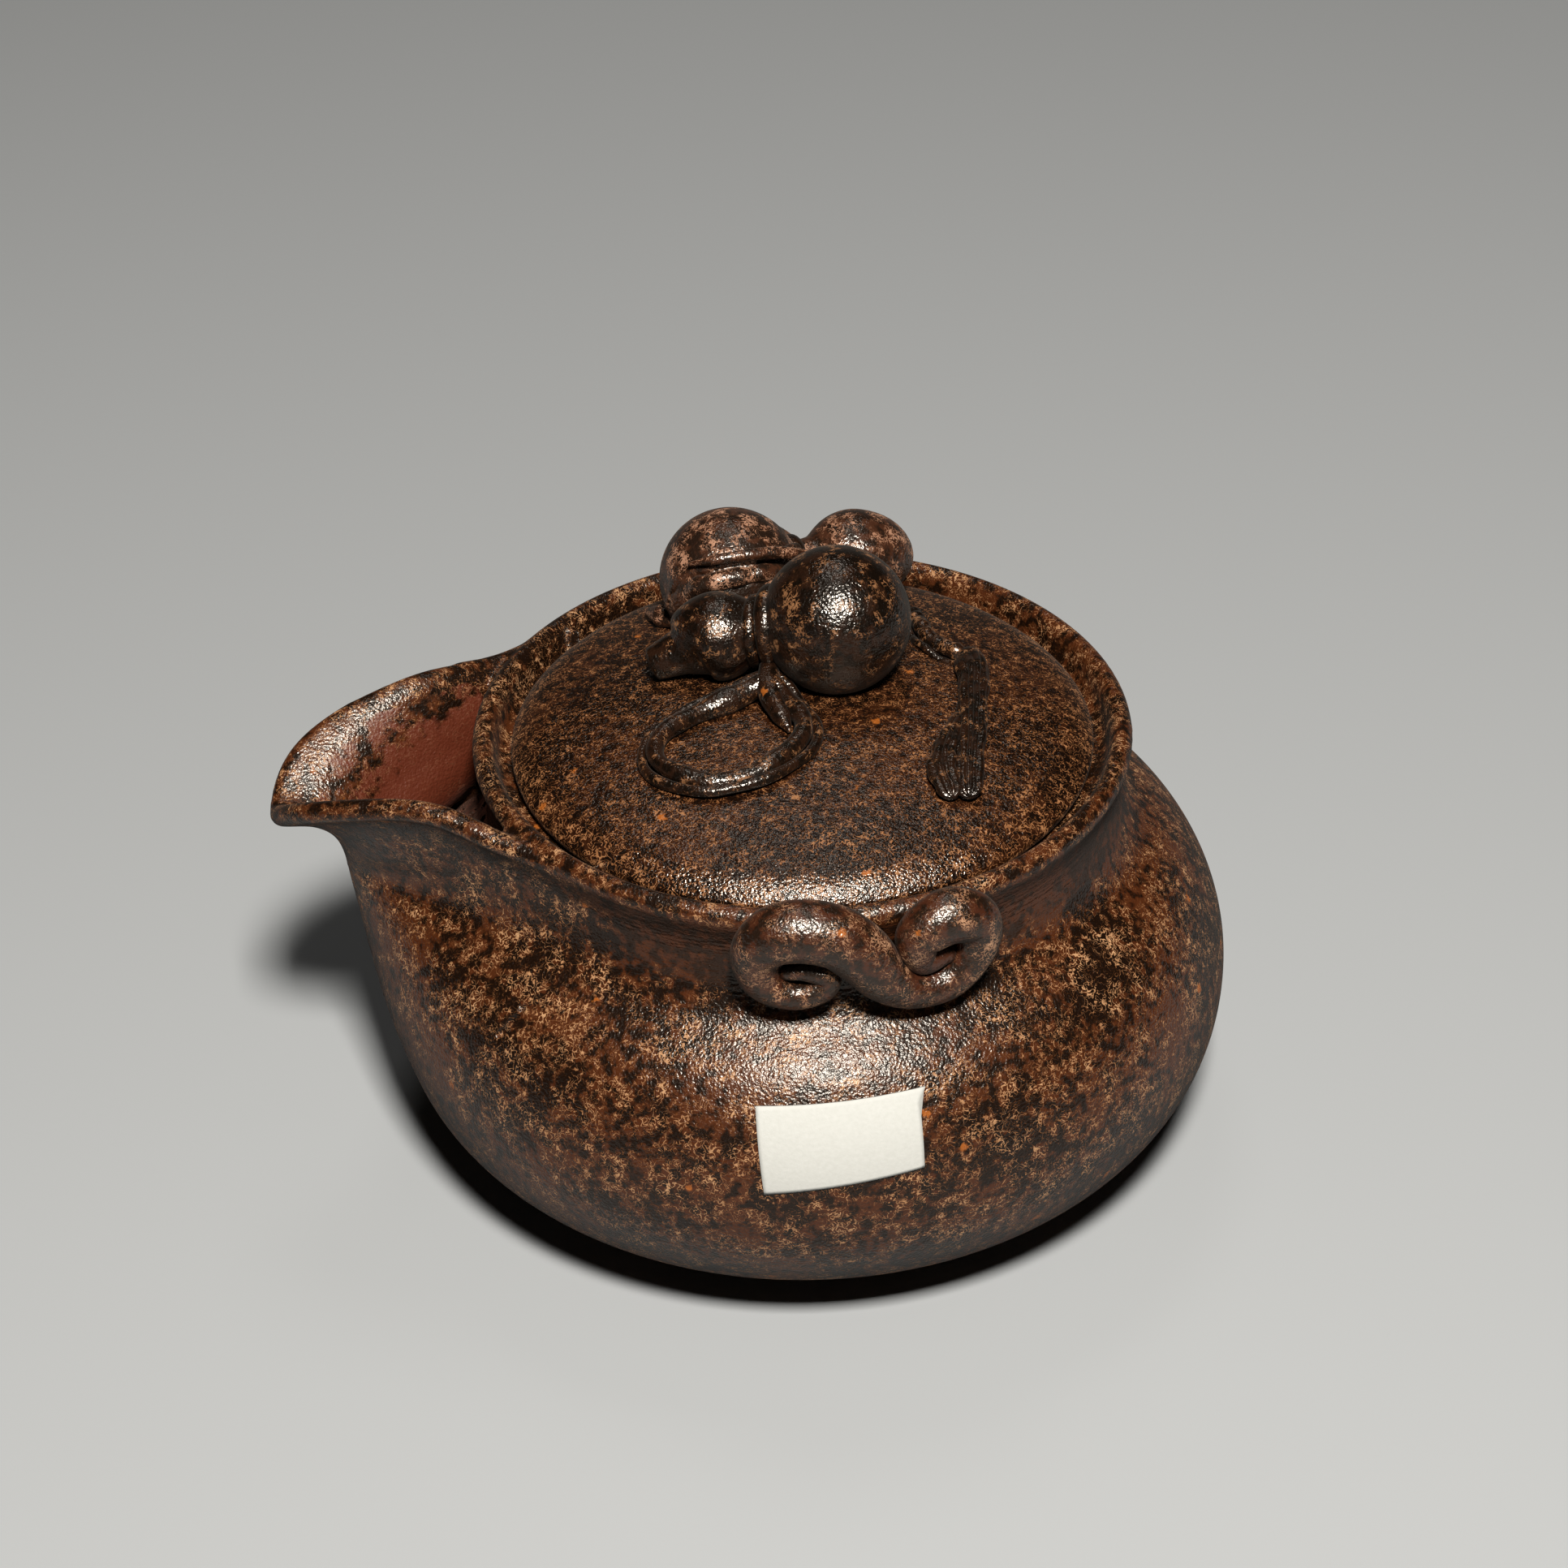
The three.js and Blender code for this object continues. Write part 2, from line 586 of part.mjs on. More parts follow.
// The rear gourd's cord is laid in the valley between the gourds and hooks down at its end.
const valleyRoute = [[1.7, 17.9, 11.5], [-1, 14.9, 12.8], [-4, 13, 13.6], [-9.2, 12.2, 13.4],
  [-11.6, 13.6, 11.6], [-12.6, 14.9, 9], [-13, 16.6, 6.4]];
const valleyCurve = new THREE.CatmullRomCurve3(
  valleyRoute.map(([x, y, above]) => new THREE.Vector3(x, y, rimTop + above)),
  false, 'centripetal');
const valleyPair = (growth) => swept(valleyCurve, () => cordRadius + growth, {
  steps: 14, sides: 12, outline: pairOutline, facing: () => new THREE.Vector3(0, -1, 0.6),
});
addPiece('rear_cord_strands', valleyPair(0).subtract(rearKeepOut), clay.dark);
const ridgeRoute = [[3, 15.2, 13.4], [-1, 13.6, 15.1], [-5, 12.3, 15.9], [-9, 12.2, 15.6],
  [-11.8, 13.6, 14.4]];
const ridgeCurve = new THREE.CatmullRomCurve3(
  ridgeRoute.map(([x, y, above]) => new THREE.Vector3(x, y, rimTop + above)),
  false, 'centripetal');
addPiece('rear_single_strand', swept(ridgeCurve, () => strandRadius, { steps: 14, sides: 8 })
  .subtract(rearKeepOut).subtract(valleyPair(gap)), clay.dark);
const tipCurve = laidCurve([[-13.4, 18.6], [-14.8, 20.2], [-16.6, 22.4]], 1);
addPiece('rear_tassel_tip', swept(tipCurve, radiiAlong([1, 1.5, 0.7]), { steps: 6, sides: 8 })
  .subtract(rearKeepOut), clay.dark);

addPiece('front_cord_loop', cordLoop(0).subtract(frontKeepOut), clay.dark);

// Knot: a lump that leads from the waist down on to the loop, and runs out in a short pointed end.
const knotRoute = [[-3.5, 2.2, 3.4], [-3.7, -0.6, 2.7], [-3.9, -3, 1.6], [-3.2, -6, 0.9], [-2.3, -9, 0.3]];
const knotCurve = new THREE.CatmullRomCurve3(
  knotRoute.map(([x, y, lift]) => new THREE.Vector3(x, y, lidTopAt(x, y) + gap + lift)),
  false, 'centripetal');
const knotRadii = [1.6, 1.9, 1.6, 1.2, 0.5];
addPiece('front_cord_knot', swept(knotCurve, radiiAlong(knotRadii), { steps: 10, sides: 10 })
  .subtract(frontKeepOut).subtract(cordLoop(gap)), clay.dark);

// Tassel: a flat hank with raised threads, and a shorter hank that leaves it on one side.
const threads = (count) => (turn, t) => {
  const squash = 1 / Math.hypot(Math.cos(turn), Math.sin(turn) / hankFlatness);
  return squash * (1 + threadDepth * Math.cos(count * turn) * Math.min(4 * t, 1));
};
const tasselRoute = [[20.9, 1.9], [20.1, -3.6], [18.9, -11], [18, -15.5], [17.2, -20.6]];
const tasselRadii = [1.6, 2, 1.9, 1.8, 1.8, 1.7];
const tassel = (growth) => swept(laidCurve([[20.8, 5.4 + growth], ...tasselRoute], 1.1),
  radiiAlong(tasselRadii.map((r) => r + growth)), { steps: 11, sides: 18, outline: threads(9) });
addPiece('side_tassel', tassel(0).subtract(lidKeepOut), clay.dark);
const curlRoute = [[17.9, -7.4], [16.4, -11], [15, -15], [14.6, -18], [14.9, -20.6]];
addPiece('side_tassel_curl', swept(laidCurve(curlRoute, 0.8), radiiAlong([0.9, 1.4, 1.7, 1.8, 1.5]), {
  steps: 8, sides: 12, outline: threads(6),
}).subtract(lidKeepOut).subtract(tassel(laidGap)), clay.dark);
const sideRoute = [[15.2, 16.2], [15.7, 12.4], [16.4, 9.4], [18, 7.3], [20.4, 5.4]];
addPiece('side_cord', swept(laidCurve(sideRoute, leadRadius), () => leadRadius, { steps: 12, sides: 8 })
  .subtract(rearKeepOut).subtract(tassel(laidGap)), clay.dark);

// Paper label: a thin four-sided slip laid on the curve of the belly. Its corners are angles round
// the bowl and heights, and a small ear stands out at its upper right corner.
function label() {
  const columns = 6;
  const heights = [0, 0.3, 0.6, 0.86, 1];
  const skin = (lift) => heights.map((up) => {
    const row = [];
    for (let i = 0; i <= columns; i++) {
      const along = i / columns;
      const [low, high] = [labelBottom, labelTop].map(([left, right]) =>
        left.map((value, k) => THREE.MathUtils.lerp(value, right[k], along)));
      const ear = up === 1 && i === columns ? labelEar : 0;
      const z = THREE.MathUtils.lerp(low[1], high[1], up);
      const turn = degrees(THREE.MathUtils.lerp(low[0], high[0], up) + ear);
      const r = bowlRadiusAt(z) + lift;
      row.push(new THREE.Vector3(r * Math.cos(turn), r * Math.sin(turn), z));
    }
    return row;
  });
  const under = skin(laidGap);
  const over = skin(laidGap + labelThickness);
  return solidOf(loft(over.map((row, k) => [...row, ...under[k].reverse()])));
}
addPiece('capacity_label', label(), clay.paper);

export default group;
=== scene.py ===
import math
import bmesh
import bpy
import numpy as np
from mathutils import Matrix
from mathutils import Quaternion
from mathutils import Vector


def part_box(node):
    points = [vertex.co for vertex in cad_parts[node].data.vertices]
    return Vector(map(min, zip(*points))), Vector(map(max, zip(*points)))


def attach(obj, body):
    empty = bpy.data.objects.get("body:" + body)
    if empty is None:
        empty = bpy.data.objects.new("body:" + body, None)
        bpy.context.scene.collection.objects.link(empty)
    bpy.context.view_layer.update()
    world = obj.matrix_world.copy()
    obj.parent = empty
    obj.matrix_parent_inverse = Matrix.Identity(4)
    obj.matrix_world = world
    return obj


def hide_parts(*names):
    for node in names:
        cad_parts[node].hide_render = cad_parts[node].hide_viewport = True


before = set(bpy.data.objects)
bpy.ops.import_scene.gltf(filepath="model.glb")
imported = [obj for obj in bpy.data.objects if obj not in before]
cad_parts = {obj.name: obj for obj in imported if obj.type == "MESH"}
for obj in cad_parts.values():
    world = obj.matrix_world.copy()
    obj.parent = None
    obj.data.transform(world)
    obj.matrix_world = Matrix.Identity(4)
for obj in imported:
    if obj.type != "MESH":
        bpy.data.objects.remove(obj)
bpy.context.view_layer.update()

# The bowl and its spout. Stoneware clay thrown round on the wheel, from the flat base to the rolled
# rim and the ledge for the lid. The spout is a sheet of the same clay, pulled to a drooping lip and
# luted over the shoulder with slip, so that in the fired pot the two walls are one.
# A curve below 1 makes its quarter of the outline fuller than an ellipse, and above 1 flatter.
MM = 0.001
rim_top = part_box("thrown_bowl")[1].z / MM
belly_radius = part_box("thrown_bowl")[1].x / MM
base_radius = 20.5
belly_height = 23.0
belly_curve = 0.88
shoulder_top = rim_top - 13.3
shoulder_curve = 1.06
neck_radius = 37.7
neck_height = rim_top - 6.3
rim_radius = 39.5
rim_bevel = 1.6
land_width = 2.1
ledge_height = rim_top - 3.9
ledge_outer = 35.7
ledge_inner = 31.4
ledge_thickness = 2.0
wall = 3.4
floor_thickness = 3.8


def rounded_line(points, count):
    """A Catmull-Rom line through points, with an even count of samples between each two."""
    p = np.asarray(points, float)
    p = np.vstack([2 * p[0] - p[1], p, 2 * p[-1] - p[-2]])
    out = []
    for i in range(1, len(p) - 2):
        t = np.linspace(0, 1, count, endpoint=False)[:, None]
        a, b, c, d = p[i - 1:i + 3]
        out.append(0.5 * (2 * b + (c - a) * t + (2 * a - 5 * b + 4 * c - d) * t ** 2
                          + (3 * b - a - 3 * c + d) * t ** 3))
    return np.vstack(out + [p[-2:-1]])


def distances(line):
    """How far along a line each of its points is."""
    return np.concatenate([[0], np.cumsum(np.linalg.norm(np.diff(line, axis=0), axis=1))])


def evenly(line, count):
    """The same line with samples at even distances along it."""
    along = distances(line)
    at = along[-1] * np.linspace(0, 1, count)
    return np.stack([np.interp(at, along, line[:, k]) for k in range(line.shape[1])], 1)


# Profiles are pairs of radius and height, from the middle of the base out, up and in again.
quarter = np.linspace(0, math.pi / 2, 60)
lower = np.stack([base_radius + (belly_radius - base_radius) * np.sin(quarter) ** belly_curve,
                  belly_height * (1 - np.cos(quarter) ** belly_curve)], 1)
turn = quarter[quarter < math.radians(70)]
shoulder_end = neck_radius - 3.1
shoulder = np.stack([shoulder_end + (belly_radius - shoulder_end) * np.cos(turn) ** shoulder_curve,
                     belly_height + (shoulder_top - belly_height) * np.sin(turn) ** shoulder_curve], 1)
neck = rounded_line([shoulder[-1], (neck_radius + 0.6, neck_height - 4.6), (neck_radius, neck_height),
                     (neck_radius + 0.8, rim_top - rim_bevel - 2.3), (rim_radius, rim_top - rim_bevel)],
                    12)
outside = evenly(np.vstack([lower[:-1], shoulder[:-1], neck]), 260)
for _ in range(40):
    # The rib that smooths the turning clay leaves no step between belly, shoulder and neck.
    outside[1:-1] = (outside[:-2] + 2 * outside[1:-1] + outside[2:]) / 4


def bowl_radius(z):
    """Radius of the bowl's outside at a height."""
    return np.interp(z, outside[:, 1], outside[:, 0])


rim = rounded_line([(rim_radius, rim_top - rim_bevel), (rim_radius - 0.35, rim_top - 0.7),
                    (rim_radius - 1.2, rim_top - 0.05), (rim_radius - land_width, rim_top - 0.2),
                    (rim_radius - land_width - 0.6, rim_top - 1.2), (ledge_outer, ledge_height),
                    (ledge_inner, ledge_height), (ledge_inner, ledge_height - ledge_thickness)], 8)
step = np.gradient(outside, axis=0)
inward = np.stack([-step[:, 1], step[:, 0]], 1) / np.linalg.norm(step, axis=1)[:, None]
inside = (outside + wall * inward)[::-1]
under_ledge = ledge_height - ledge_thickness - 2.4
inside = inside[(inside[:, 1] < under_ledge) & (inside[:, 1] > floor_thickness)]
bowl_profile = np.vstack([[(0, 0)], outside, rim[1:], inside,
                          [(base_radius, floor_thickness), (0, floor_thickness)]])


def mesh_object(name, points, faces):
    """A new object from points in millimetres and faces, shaded smooth."""
    mesh = bpy.data.meshes.new(name)
    mesh.from_pydata((np.asarray(points) * MM).tolist(), [], faces)
    mesh.validate()
    piece = bpy.data.objects.new(name, mesh)
    bpy.context.scene.collection.objects.link(piece)
    mesh.shade_smooth()
    return piece


def outward(piece, weld=False):
    """Turns the faces of a closed mesh outwards; weld first merges points at one place."""
    work = bmesh.new()
    work.from_mesh(piece.data)
    if weld:
        bmesh.ops.remove_doubles(work, verts=work.verts, dist=1e-7)
    bmesh.ops.recalc_face_normals(work, faces=work.faces)
    work.to_mesh(piece.data)
    work.free()


def skinned(name, rings, closed=False):
    """Rings of one count skinned into a closed surface; end rings get one flat face each."""
    count = len(rings)
    sides = len(rings[0])
    faces = []
    for r in range(count if closed else count - 1):
        s = (r + 1) % count
        for a in range(sides):
            b = (a + 1) % sides
            faces.append((r * sides + a, r * sides + b, s * sides + b, s * sides + a))
    if not closed:
        faces += [tuple(range(sides))[::-1], tuple(range((count - 1) * sides, count * sides))]
    piece = mesh_object(name, np.vstack(rings), faces)
    outward(piece)
    return piece


def round_axis(profile, a):
    """A profile of radius and height as points in space, a radians round the pot's axis."""
    return np.stack([profile[:, 0] * math.cos(a), profile[:, 0] * math.sin(a), profile[:, 1]], 1)


def turned(name, profile, segments):
    """A profile of radius and height turned round the pot's axis."""
    angles = np.linspace(0, 2 * math.pi, segments, endpoint=False)
    count = len(profile)
    faces = []
    for s in range(segments):
        t = (s + 1) % segments
        faces += [(s * count + k, t * count + k, t * count + k + 1, s * count + k + 1)
                  for k in range(count - 1)]
    piece = mesh_object(name, np.vstack([round_axis(profile, a) for a in angles]), faces)
    outward(piece, weld=True)
    return piece


# The spout's front, from its foot on the belly up the throat and out to the tip of the lip.
spout_wall = 2.6
spout_foot = 15.0
throat = rim_radius + 15.6
spout_reach = -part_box("pouring_spout")[0].x / MM - spout_wall / 2
lip_drop = 9.1
edge_drop = 2.5
edge_rise = 1.9
spout_front = rounded_line([(bowl_radius(spout_foot), spout_foot), (throat - 2, rim_top - 32),
                            (throat, rim_top - 19), (throat + 1.1, rim_top - lip_drop - 3.3),
                            (throat + 3.6, rim_top - lip_drop - 0.7),
                            (spout_reach, rim_top - lip_drop)], 16)
spout_front = evenly(spout_front, 90)


def smooth_step(x, low, high):
    """0 below low, 1 above high, and a soft rise between them."""
    t = np.clip((x - low) / (high - low), 0, 1)
    return t * t * (3 - 2 * t)


def spout_shoulder(away):
    """Height of the spout's edge without its droop; it is highest 17 degrees off the middle."""
    return rim_top - edge_drop + edge_rise * np.exp(-(((away - 17) / 7.5) ** 2))


def spout_edge(away):
    """Height of the spout's edge, which droops at the pinched lip in the middle."""
    return spout_shoulder(away) - (lip_drop - edge_drop) * np.exp(-((away / 6.9) ** 1.6))


def spout_share(away, rise):
    """How far the wall stands out, from 0 on the bowl to 1 on the spout's front.

    away is in degrees off the middle, and the foot spreads wider than the lip.
    """
    spread = away / (1 + 0.9 * (1 - rise))
    return smooth_step(45 - spread, 0, 20) / (1 + (spread / 14.1) ** 2.9)


def spout_surface(angle, along):
    """Outer skin of the spout at an angle from its middle and a share of the way up its front."""
    away = np.abs(angle)
    at = along * (len(spout_front) - 1)
    front = np.stack([np.interp(at, np.arange(len(spout_front)), spout_front[:, k])
                      for k in range(2)], -1)
    rise = (front[..., 1] - spout_foot) / (rim_top - lip_drop - spout_foot)
    z = spout_foot + (spout_edge(away) - spout_foot) * rise
    r = bowl_radius(z) + (front[..., 0] - bowl_radius(front[..., 1])) * spout_share(away, rise)
    way = math.pi + np.radians(angle)
    return np.stack([r * np.cos(way), r * np.sin(way), z], -1), rise


# The sheet is cut this many degrees to each side of its middle, and narrower at its foot.
half_width = 44
edge_tuck = 3
rows = np.linspace(0, 1, 70)
rise = spout_surface(np.zeros_like(rows), rows)[1]
rings = []
for u in np.linspace(-1, 1, 121):
    angle = half_width * np.maximum(rise, 0.03) ** 0.3 * u
    outer = spout_surface(angle, rows)[0]
    across = spout_surface(angle + 0.3, rows)[0] - spout_surface(angle - 0.3, rows)[0]
    up = np.gradient(outer, axis=0)
    inwards = np.cross(up, across)
    inwards /= np.linalg.norm(inwards, axis=1)[:, None]
    if abs(u) == 1:
        # The sheet's two sides are tucked into the bowl's wall, so that no gap shows.
        tuck = edge_tuck * np.stack([outer[:, 0], outer[:, 1], 0 * rows], 1)
        outer = outer - tuck / np.hypot(*outer[:, :2].T)[:, None]
    inner = outer + spout_wall * inwards
    crest_way = up[-1] / np.linalg.norm(up[-1])
    middle = (outer[-1] + inner[-1]) / 2
    crest = [middle + (outer[-1] - middle) * math.cos(t) + crest_way * spout_wall / 2 * math.sin(t)
             for t in np.linspace(0, math.pi, 9)[1:-1]]
    rings.append(np.vstack([outer, crest, inner[::-1]]))
spout_sheet = skinned("spout_sheet", rings)
pot_wall = turned("pot_wall", bowl_profile, 360)

# The window in the shoulder behind the spout, which the screen fills.
window_low = 32.2
window_high = 45.3
window_half = math.radians(19.4)
heights = np.linspace(window_low, window_high, 12)
section = np.vstack([np.stack([bowl_radius(heights) + wall, heights], 1),
                     np.stack([bowl_radius(heights) - 2 * wall, heights], 1)[::-1]])
window = skinned("window", [round_axis(section, math.pi + a)
                            for a in np.linspace(-window_half, window_half, 24)])


def applied(piece, kind, **settings):
    """Adds a modifier with its settings and makes its result the piece's mesh."""
    made = piece.modifiers.new(kind.lower(), kind)
    for key, value in settings.items():
        setattr(made, key, value)
    bpy.context.view_layer.update()
    depsgraph = bpy.context.evaluated_depsgraph_get()
    result = bpy.data.meshes.new_from_object(piece.evaluated_get(depsgraph))
    piece.modifiers.clear()
    piece.data = result


applied(pot_wall, "BOOLEAN", object=window, operation="DIFFERENCE", solver="EXACT")
bpy.data.objects.remove(window)


def joined(piece, other):
    """Adds the other piece's mesh to the piece and removes the other piece."""
    work = bmesh.new()
    work.from_mesh(piece.data)
    work.from_mesh(other.data)
    work.to_mesh(piece.data)
    work.free()
    bpy.data.objects.remove(other)


# Luting: the two walls are remeshed into one skin, at 0.42 mm to keep the rim and the lip crisp.
joined(pot_wall, spout_sheet)
voxel = 0.42
applied(pot_wall, "REMESH", mode="VOXEL", voxel_size=voxel * MM, use_smooth_shade=True)


def without_specks(piece):
    """Keeps the largest connected part of a mesh and drops the specks left by the remesh."""
    work = bmesh.new()
    work.from_mesh(piece.data)
    parts = []
    seen = set()
    for start in work.verts:
        if start in seen:
            continue
        part = []
        queue = [start]
        seen.add(start)
        while queue:
            point = queue.pop()
            part.append(point)
            for edge in point.link_edges:
                other = edge.other_vert(point)
                if other not in seen:
                    seen.add(other)
                    queue.append(other)
        parts.append(part)
    parts.sort(key=len)
    specks = [point for part in parts[:-1] for point in part]
    bmesh.ops.delete(work, geom=specks, context="VERTS")
    work.to_mesh(piece.data)
    work.free()


without_specks(pot_wall)
applied(pot_wall, "SMOOTH", factor=0.5, iterations=6)
pot_wall.data.shade_smooth()


def vertex_arrays(piece):
    """Every point of a piece, in millimetres, and its normal."""
    count = len(piece.data.vertices)
    points = np.empty(count * 3, np.float32)
    normals = np.empty(count * 3, np.float32)
    piece.data.vertices.foreach_get("co", points)
    piece.data.vertices.foreach_get("normal", normals)
    return points.reshape(-1, 3) / MM, normals.reshape(-1, 3)


def from_axis(points, normals):
    """Distance from the axis, how far a point faces outwards, and degrees from the spout's middle."""
    radius = np.hypot(points[:, 0], points[:, 1])
    facing = (points[:, 0] * normals[:, 0] + points[:, 1] * normals[:, 1]) / np.maximum(radius, 1e-6)
    away = np.degrees(np.abs(np.arctan2(points[:, 1], -points[:, 0])))
    return radius, facing, away


# The wiped seam: outside the joint the wall follows the spout's own curve again, with no ridge. It
# moves only points on the outside, beside the lip and below the neck, that are within 0.7 mm of it.
points, normals = vertex_arrays(pot_wall)
radius, facing, away = from_axis(points, normals)
height = points[:, 2]
rise = np.clip((height - spout_foot) / (spout_shoulder(away) - spout_foot), 0, 1)
level = spout_foot + rise * (rim_top - lip_drop - spout_foot)
front = np.interp(level, spout_front[:, 1], spout_front[:, 0])
wanted = bowl_radius(height) + (front - bowl_radius(level)) * spout_share(away, rise)
near = (facing > 0.2) * (np.abs(wanted - radius) < 0.7) * smooth_step(away, 18, 26)
near = near * (1 - smooth_step(height, rim_top - 9, rim_top - 5)) * smooth_step(height, 12, 18)
push = 1 + near * (1 - smooth_step(away, 86, 96)) * (wanted / np.maximum(radius, 1e-6) - 1)
points[:, :2] *= push[:, None]
pot_wall.data.vertices.foreach_set("co", (points * MM).astype(np.float32).ravel())
pot_wall.data.update()


def mark(piece, name, values):
    """Stores a share from 0 to 1 on each point, for the material to read."""
    attribute = piece.data.attributes.new(name, "FLOAT", "POINT")
    attribute.data.foreach_set("value", np.clip(values, 0, 1).astype(np.float32))


# Where the slip was wiped off or lies thin: in the spout up to its edge, and inside the bowl below the
# ledge.
# The outside of the neck, from the spout's shoulders round to the back, is marked for painted shade
# under the rim.
points, normals = vertex_arrays(pot_wall)
radius, facing, away = from_axis(points, normals)
height = points[:, 2]
in_spout = (smooth_step(radius - bowl_radius(height), 0.3, 2) * (away < 46)
            * (height > 26) * (height < rim_top - 0.5))
near_edge = smooth_step(height - spout_edge(away), -8, -0.5)
mark(pot_wall, "bare", in_spout * smooth_step(-facing, -0.1, 0.4) * (1 - 0.5 * near_edge))
# The neck mark darkens the band under the rim with painted shade, the shade of the rim's overhang; it
# also carries the throwing lines.
below_rim = rim_top - height
on_neck = smooth_step(below_rim, 1.5, 3) * (1 - smooth_step(below_rim, 8, 14))
on_neck = on_neck * (facing > 0) * (radius > rim_radius - 3)
mark(pot_wall, "neck", on_neck * smooth_step(away, 38, 60))
in_bowl = (radius < bowl_radius(height) - 1.2) * (height < ledge_height - 1.5) * (height > 1)
mark(pot_wall, "inside", in_bowl)
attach(pot_wall, "pot")
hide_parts("thrown_bowl", "pouring_spout")


def linear(code):
    """An sRGB hex colour as the linear colour that a shader takes."""
    parts = [int(code[i:i + 2], 16) / 255 for i in (0, 2, 4)]
    return [p / 12.92 if p <= 0.04045 else ((p + 0.055) / 1.055) ** 2.4 for p in parts] + [1]


def add(tree, kind, inputs=None, **settings):
    """Adds a node with its settings; an input is a value or the output that feeds it."""
    made = tree.nodes.new(kind)
    for key, value in settings.items():
        setattr(made, key, value)
    for key, value in (inputs or {}).items():
        if isinstance(value, bpy.types.NodeSocket):
            tree.links.new(value, made.inputs[key])
        else:
            made.inputs[key].default_value = value
    return made


def fired_clay(name, look, tints=()):
    """Clay under a thin iron slip: dark ground, a worm-like net of pale ash, and rust spots.

    look gives sRGB colours; in millimetres, the grain of the net, the size of the patches where it
    lies thick or thin, and the depth of the orange-peel skin; how wide the net's lines are (cover),
    how much that changes from patch to patch (patchy) and on a mark (thicker); and the gloss.
    tints gives marks where the slip lies thin or where shade is painted, with the colour laid there and
    its strength.
    """
    # Real spacings in millimetres. Orange peel and throwing lines are half as far apart on the
    # pot, too fine to show, so they are drawn as coarse as they need to be to catch the light.
    flame_drift = 11     # clouds where the flame left the ground darker or warmer
    grit = 1.3           # coarse sand in the clay, which frays every edge
    spot_spacing = 4.5   # specks of iron
    orange_peel = 0.36   # pits in the slip
    finger_swell = 2.6   # soft ridges left by the fingers
    throwing_line = 0.6  # lines drawn round the neck by sand under the fingers
    made = bpy.data.materials.new(name)
    made.use_nodes = True
    tree = made.node_tree
    tree.nodes.clear()
    place = add(tree, "ShaderNodeTexCoord").outputs["Object"]
    cloud = add(tree, "ShaderNodeTexNoise", {"Vector": place, "Scale": 1 / (look["patch"] * MM),
                "Detail": 3, "Roughness": 0.6}).outputs["Fac"]
    drift = add(tree, "ShaderNodeTexNoise", {"Vector": place, "Scale": 1 / (flame_drift * MM),
                "Detail": 1}).outputs["Fac"]
    net = add(tree, "ShaderNodeTexNoise", {"Vector": place, "Scale": 1 / (look["net"] * MM),
              "Detail": 0.7, "Distortion": 0.9}).outputs["Fac"]
    grain = add(tree, "ShaderNodeTexNoise", {"Vector": place, "Scale": 1 / (grit * MM),
                "Detail": 2}).outputs["Fac"]

    # The net lies along the lines where its noise crosses the middle, wider in the thick patches.
    off = add(tree, "ShaderNodeMath", {0: net, 1: 0.5}, operation="SUBTRACT").outputs[0]
    line = add(tree, "ShaderNodeMath", {0: off}, operation="ABSOLUTE").outputs[0]
    width = add(tree, "ShaderNodeMath", {0: cloud, 1: look["patchy"],
                2: look["cover"] - look["patchy"] / 2}, operation="MULTIPLY_ADD").outputs[0]
    width = add(tree, "ShaderNodeMath", {0: grain, 1: 0.1, 2: width},
                operation="MULTIPLY_ADD").outputs[0]
    for key, amount in look["thicker"]:
        share = add(tree, "ShaderNodeAttribute", attribute_name=key).outputs["Fac"]
        width = add(tree, "ShaderNodeMath", {0: share, 1: amount, 2: width},
                    operation="MULTIPLY_ADD").outputs[0]
    over = add(tree, "ShaderNodeMath", {0: width, 1: line}, operation="SUBTRACT").outputs[0]
    ash_share = add(tree, "ShaderNodeMapRange", {"Value": over, "From Min": 0.08, "From Max": 0.12},
                    interpolation_type="SMOOTHSTEP").outputs["Result"]

    # The ground goes from near-black to brown, and the ash from rust to tan where it lies thick.
    blend = add(tree, "ShaderNodeMath", {0: drift, 1: 0.6, 2: grain},
                operation="MULTIPLY_ADD").outputs[0]
    warm_share = add(tree, "ShaderNodeMapRange", {"Value": blend, "From Min": 0.72, "From Max": 0.92},
                     interpolation_type="SMOOTHSTEP").outputs["Result"]
    ground = add(tree, "ShaderNodeMix", {0: warm_share, 6: linear(look["ground"]),
                 7: linear(look["warm"])}, data_type="RGBA").outputs[2]
    pale_share = add(tree, "ShaderNodeMapRange", {"Value": width, "From Min": 0.1,
                     "From Max": 0.22}).outputs["Result"]
    ash = add(tree, "ShaderNodeMix", {0: pale_share, 6: linear(look["rust"]), 7: linear(look["ash"])},
              data_type="RGBA").outputs[2]
    colour = add(tree, "ShaderNodeMix", {0: ash_share, 6: ground, 7: ash}, data_type="RGBA").outputs[2]

    # One in five specks of iron bleeds a ragged rust spot about a millimetre wide.
    spots = add(tree, "ShaderNodeTexVoronoi", {"Vector": place, "Scale": 1 / (spot_spacing * MM)})
    pick = add(tree, "ShaderNodeSeparateColor", {0: spots.outputs["Color"]}).outputs[0]
    chosen = add(tree, "ShaderNodeMath", {0: pick, 1: 0.8}, operation="GREATER_THAN").outputs[0]
    ragged = add(tree, "ShaderNodeMath", {0: net, 1: 0.2, 2: spots.outputs["Distance"]},
                 operation="MULTIPLY_ADD").outputs[0]
    near = add(tree, "ShaderNodeMapRange", {"Value": ragged, "From Min": 0.18, "From Max": 0.24,
               "To Min": 0.75, "To Max": 0}).outputs["Result"]
    spot = add(tree, "ShaderNodeMath", {0: chosen, 1: near}, operation="MULTIPLY").outputs[0]
    colour = add(tree, "ShaderNodeMix", {0: spot, 6: colour, 7: linear("7c4418")},
                 data_type="RGBA").outputs[2]
